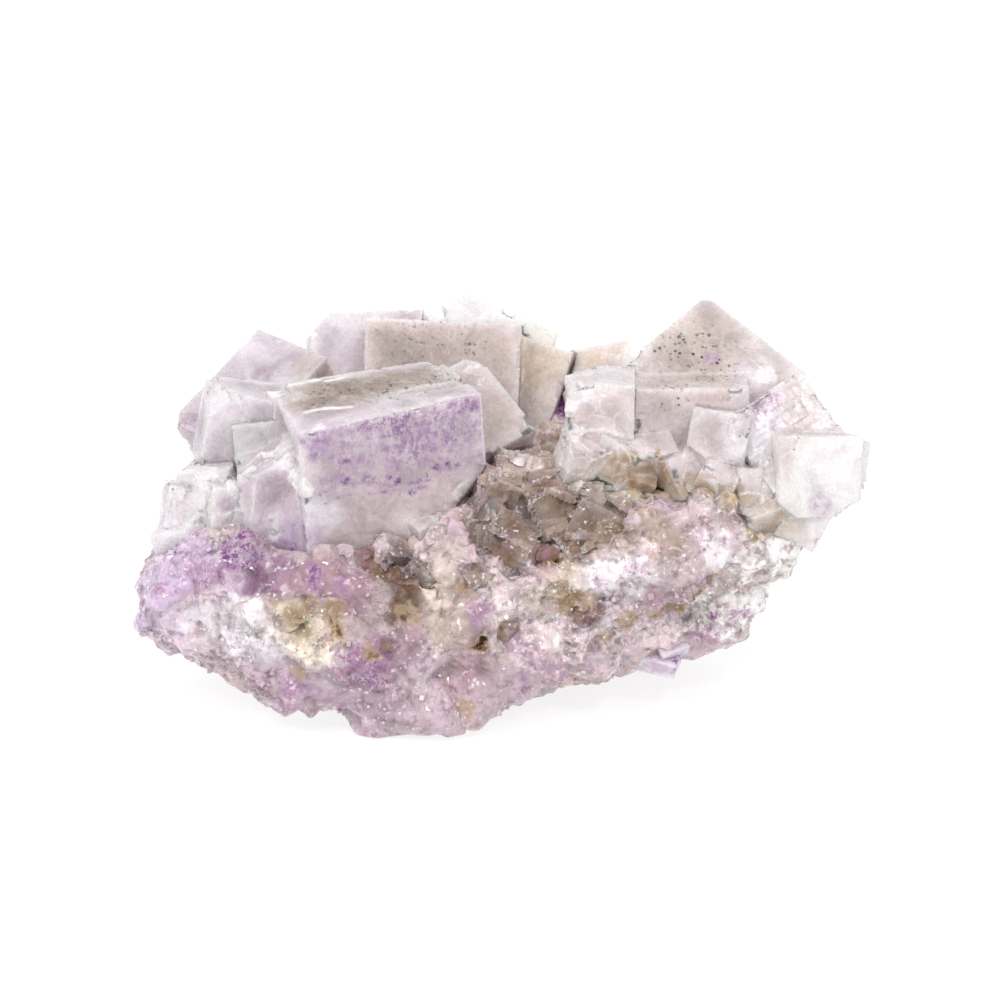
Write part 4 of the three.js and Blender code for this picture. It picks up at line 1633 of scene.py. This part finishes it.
fine_rim = (1 - smooth(middle_gap, 0.0, 0.2)) * smooth(billow(points, 3.0, 92), 0.45, 0.6)
frost = 0.5 * np.maximum(rim, fine_rim) * (1 - hollow) * (0.3 + 0.7 * sugary)
store(matrix, "tone", np.stack([violet, stain, frost, sugary], axis=1))

# %% [markdown]
# ## A lighter matrix
# The skin has far more triangles than its flat facets need. The Decimate modifier takes most from
# the flat stretches and keeps the edges, so the grains stay crisp at about half the weight.

# %% Thin, smooth and place the matrix
MOST_TRIANGLES = 190000
MATRIX_CLEARNESS = 0.12
GRAIN_EDGE = math.radians(14)
triangles = 2 * len(matrix.data.polygons)
share = min(1, MOST_TRIANGLES / triangles)
apply_modifier(matrix, "DECIMATE", decimate_type="COLLAPSE", ratio=share)
left = sum(len(face.vertices) - 2 for face in matrix.data.polygons)
print("matrix thinned from", triangles, "to", left, "triangles")
matrix.data.materials.clear()
matrix.data.materials.append(matrix_finish("matrix_finish", MATRIX_CLEARNESS))
only(matrix)
bpy.ops.object.shade_smooth_by_angle(angle=GRAIN_EDGE)
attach(matrix, "root")
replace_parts(matrix, "matrix")

# %% [markdown]
# ## Loose sugar
# The finest grains stand proud as tiny cubes with sharp faces, whitened with painted glints, and larger
# ones climb the feet of the crystals. One grain is modelled, and Geometry Nodes sow over a thousand
# copies on the open skin and make them one mesh. Placing them one by one with operators would be much
# slower.

# %% One grain


def chamfered_grain(name):
    """One crystal grain: a cube a millimetre wide with its corners cut off."""
    bpy.ops.mesh.primitive_cube_add(size=1 * MM)
    grain = bpy.context.object
    grain.name = name

    def cut_corners():
        bpy.ops.mesh.bevel(offset=0.16 * MM, segments=1, affect="VERTICES")

    in_edit_mode(grain, cut_corners)
    return grain


# %% Sow copies of it


def scattered(host, grain, name, per_square_cm, least, most, skew, seed):
    """Copies of the grain, from least to most mm wide, over the host as one mesh: they are dense
    and large where its 'exposed' is high, and a higher skew leaves fewer large ones."""
    tree = bpy.data.node_groups.new(name, "GeometryNodeTree")
    for way in ("INPUT", "OUTPUT"):
        tree.interface.new_socket("Geometry", in_out=way, socket_type="NodeSocketGeometry")

    def add(kind, numbers=(), **settings):
        """A node with these settings, and these numbers on its sockets."""
        made = tree.nodes.new(kind)
        for key, value in settings.items():
            setattr(made, key, value)
        for socket, value in dict(numbers).items():
            made.inputs[socket].default_value = value
        return made

    def join(source, target):
        tree.links.new(source, target)

    start, end = add("NodeGroupInput"), add("NodeGroupOutput")
    exposed = add("GeometryNodeInputNamedAttribute", {"Name": "exposed"}, data_type="FLOAT")
    density = add("ShaderNodeMath", {1: per_square_cm * 1e4}, operation="MULTIPLY")
    join(exposed.outputs["Attribute"], density.inputs[0])
    sow = add("GeometryNodeDistributePointsOnFaces", {"Seed": seed})
    join(start.outputs[0], sow.inputs["Mesh"])
    join(density.outputs[0], sow.inputs["Density"])
    all_round = {"Max": (math.tau,) * 3, "Seed": seed + 1}
    turn = add("FunctionNodeRandomValue", all_round, data_type="FLOAT_VECTOR")
    to_turn = add("FunctionNodeEulerToRotation")
    join(turn.outputs[0], to_turn.inputs[0])
    chance = add("FunctionNodeRandomValue", {"Seed": seed + 2}, data_type="FLOAT")
    power = add("ShaderNodeMath", {1: skew}, operation="POWER")
    join(chance.outputs[1], power.inputs[0])
    size = add("ShaderNodeMapRange", {"To Min": least, "To Max": most})
    join(power.outputs[0], size.inputs["Value"])
    shrink = add("ShaderNodeMath", operation="MULTIPLY")
    join(size.outputs[0], shrink.inputs[0])
    join(exposed.outputs["Attribute"], shrink.inputs[1])
    uneven = {"Min": (0.7, 0.7, 0.7), "Max": (1.2, 1.2, 1.2), "Seed": seed + 3}
    stretch = add("FunctionNodeRandomValue", uneven, data_type="FLOAT_VECTOR")
    scale = add("ShaderNodeVectorMath", operation="SCALE")
    join(stretch.outputs[0], scale.inputs[0])
    join(shrink.outputs[0], scale.inputs["Scale"])
    keep = add("GeometryNodeStoreNamedAttribute", data_type="FLOAT_VECTOR", domain="POINT")
    keep.inputs["Name"].default_value = "seed_place"
    join(sow.outputs["Points"], keep.inputs["Geometry"])
    join(add("GeometryNodeInputPosition").outputs[0], keep.inputs["Value"])
    shape = add("GeometryNodeObjectInfo", {"Object": grain})
    grow = add("GeometryNodeInstanceOnPoints")
    join(keep.outputs["Geometry"], grow.inputs["Points"])
    join(shape.outputs["Geometry"], grow.inputs["Instance"])
    join(to_turn.outputs[0], grow.inputs["Rotation"])
    join(scale.outputs[0], grow.inputs["Scale"])
    real = add("GeometryNodeRealizeInstances")
    join(grow.outputs["Instances"], real.inputs["Geometry"])
    join(real.outputs["Geometry"], end.inputs[0])
    made = host.copy()
    made.data = host.data.copy()
    made.name = made.data.name = name
    bpy.context.scene.collection.objects.link(made)
    apply_modifier(made, "NODES", node_group=tree)
    print(name, len(made.data.polygons), "faces")
    return made


# %% Where the ground is open


def open_ground(obj, near, far, above):
    """How open each vertex lies: 0 at near mm from a crystal and 1 at far mm from it."""
    points = places(obj)
    graph = bpy.context.evaluated_depsgraph_get()
    trees = [BVHTree.FromObject(crystal, graph) for crystal in crystals.values()]
    away = np.full(len(points), far + 1.0)
    for index, point in enumerate(points):
        for tree in trees:
            hit = tree.find_nearest(Vector(point * MM), far * MM)
            if hit[0] is not None:
                away[index] = min(away[index], hit[3] / MM)
                inside = (hit[0] - Vector(point * MM)).dot(hit[1]) > 0
                away[index] = 0 if inside else away[index]
    return smooth(away, near, far) * (points[:, 2] > above) * (spots(points, PITS) < 0.1)


# %% [markdown]
# ## Sowing
# The skin to sow on is a coarse copy laid onto the finished matrix, so that sowing is quick. Each
# grain remembers the place that it grew on, and takes its colours from there.

# %% A skin to sow on
GRAINS_PER_SQUARE_CM = 18
CLIMBERS_PER_SQUARE_CM = 30
grain = chamfered_grain("grain_model")
host = welded_copy("matrix", "sugar_host")
apply_modifier(host, "REMESH", mode="VOXEL", voxel_size=0.7 * MM)
apply_modifier(host, "DISPLACE", strength=0.5 * MM, mid_level=0)
apply_modifier(host, "SHRINKWRAP", target=matrix, wrap_method="NEAREST_SURFACEPOINT")

# %% Sow the climbing grains, then the sugar
exposed = host.data.attributes.new("exposed", "FLOAT", "POINT")
exposed.data.foreach_set("value", strokes(places(host), CLIMBS, 0.5, 14).astype(np.float32))
climbers = scattered(
    host, grain, "climbing_grains", CLIMBERS_PER_SQUARE_CM, least=0.5, most=1.8, skew=1.4, seed=15
)
open_values = open_ground(host, near=0.1, far=0.4, above=0.8).astype(np.float32)
host.data.attributes["exposed"].data.foreach_set("value", open_values)
sugar = scattered(
    host, grain, "matrix_sugar", GRAINS_PER_SQUARE_CM, least=0.15, most=0.6, skew=3.0, seed=11
)
only(sugar)
climbers.select_set(True)
bpy.ops.object.join()

# %% The colours of the sugar
seeds = vectors(sugar.data.attributes["seed_place"].data, "vector") / MM
number = hashed(np.floor(seeds * 50), 3)
ripple = (billow(seeds, 2.0, 8) - 0.5) * 0.8
body = washes(seeds, drift(seeds, GROUND, 8.0, 141, GROUND_TINTS), MATRIX_WASHES, ripple)
body *= (0.85 + 0.35 * number)[:, None]
stain = spots(seeds, MATRIX_STAIN, 0.7, 71)
violet = spots(seeds, MATRIX_VIOLET, 0.8, 81)
store(sugar, "body", body)
# painted highlights: every grain is whitened a little and some strongly, as glints
frost = 0.1 + 0.5 * smooth(number, 0.6, 1.0)
store(sugar, "tone", np.stack([violet, stain, frost, 0 * number], axis=1))
sugar.data.materials.clear()
sugar.data.materials.append(matrix_finish("sugar_finish", 0.0))
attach(sugar, "root")
for spare in (host, grain, plain_matrix):
    bpy.data.objects.remove(spare)

# %% [markdown]
# ## Studio
# The specimen stands on a pale floor in an evenly lit white room. A soft lamp from the upper left
# models the cubes, and two small ones make the glints on their faces. The floor glows a little, so
# that it stays white round a faint shadow.

# %% The floor
bpy.ops.mesh.primitive_plane_add(size=4, location=(0, 0, -0.02 * MM))
floor = bpy.context.object
floor.name = "floor"
white = bpy.data.materials.new("floor_white")
white.use_nodes = True
sockets = white.node_tree.nodes["Principled BSDF"].inputs
sockets["Base Color"].default_value = (0.25, 0.25, 0.25, 1)
sockets["Roughness"].default_value = 0.9
sockets["Emission Color"].default_value = (1, 1, 1, 1)
sockets["Emission Strength"].default_value = 0.78
floor.data.materials.append(white)

# %% The white room and its lamps
world = bpy.data.worlds.new("white_room")
bpy.context.scene.world = world
world.use_nodes = True
sockets = world.node_tree.nodes["Background"].inputs
sockets["Color"].default_value = (1, 1, 1, 1)
sockets["Strength"].default_value = 0.92


def softbox(name, place, aim, size, watts):
    """A square area lamp at place, facing aim, in metres."""
    lamp = bpy.data.lights.new(name, "AREA")
    lamp.size = size
    lamp.energy = watts
    obj = bpy.data.objects.new(name, lamp)
    obj.location = place
    obj.rotation_euler = (Vector(aim) - Vector(place)).to_track_quat("-Z", "Y").to_euler()
    bpy.context.scene.collection.objects.link(obj)


AIM = Vector((-0.02, -12.35, 22)) * MM
softbox("key", (-0.25, -0.3, 0.45), AIM, size=0.2, watts=1.1)
softbox("glint", (0.12, -0.35, 0.4), AIM, size=0.03, watts=0.5)
softbox("back_glint", (0.2, 0.3, 0.35), AIM, size=0.1, watts=0.3)

# %% The camera
CAMERA_DISTANCE = 0.278
CAMERA_RISE = math.radians(20)
camera = bpy.data.objects.new("camera", bpy.data.cameras.new("camera"))
camera.data.lens = 100
camera.data.sensor_width = 36
camera.data.clip_start = 0.01
back = Vector((0, -math.cos(CAMERA_RISE), math.sin(CAMERA_RISE)))
camera.location = AIM + back * CAMERA_DISTANCE
camera.rotation_euler = (-back).to_track_quat("-Z", "Y").to_euler()
bpy.context.scene.collection.objects.link(camera)
bpy.context.scene.camera = camera
bpy.context.scene.view_settings.view_transform = "Standard"
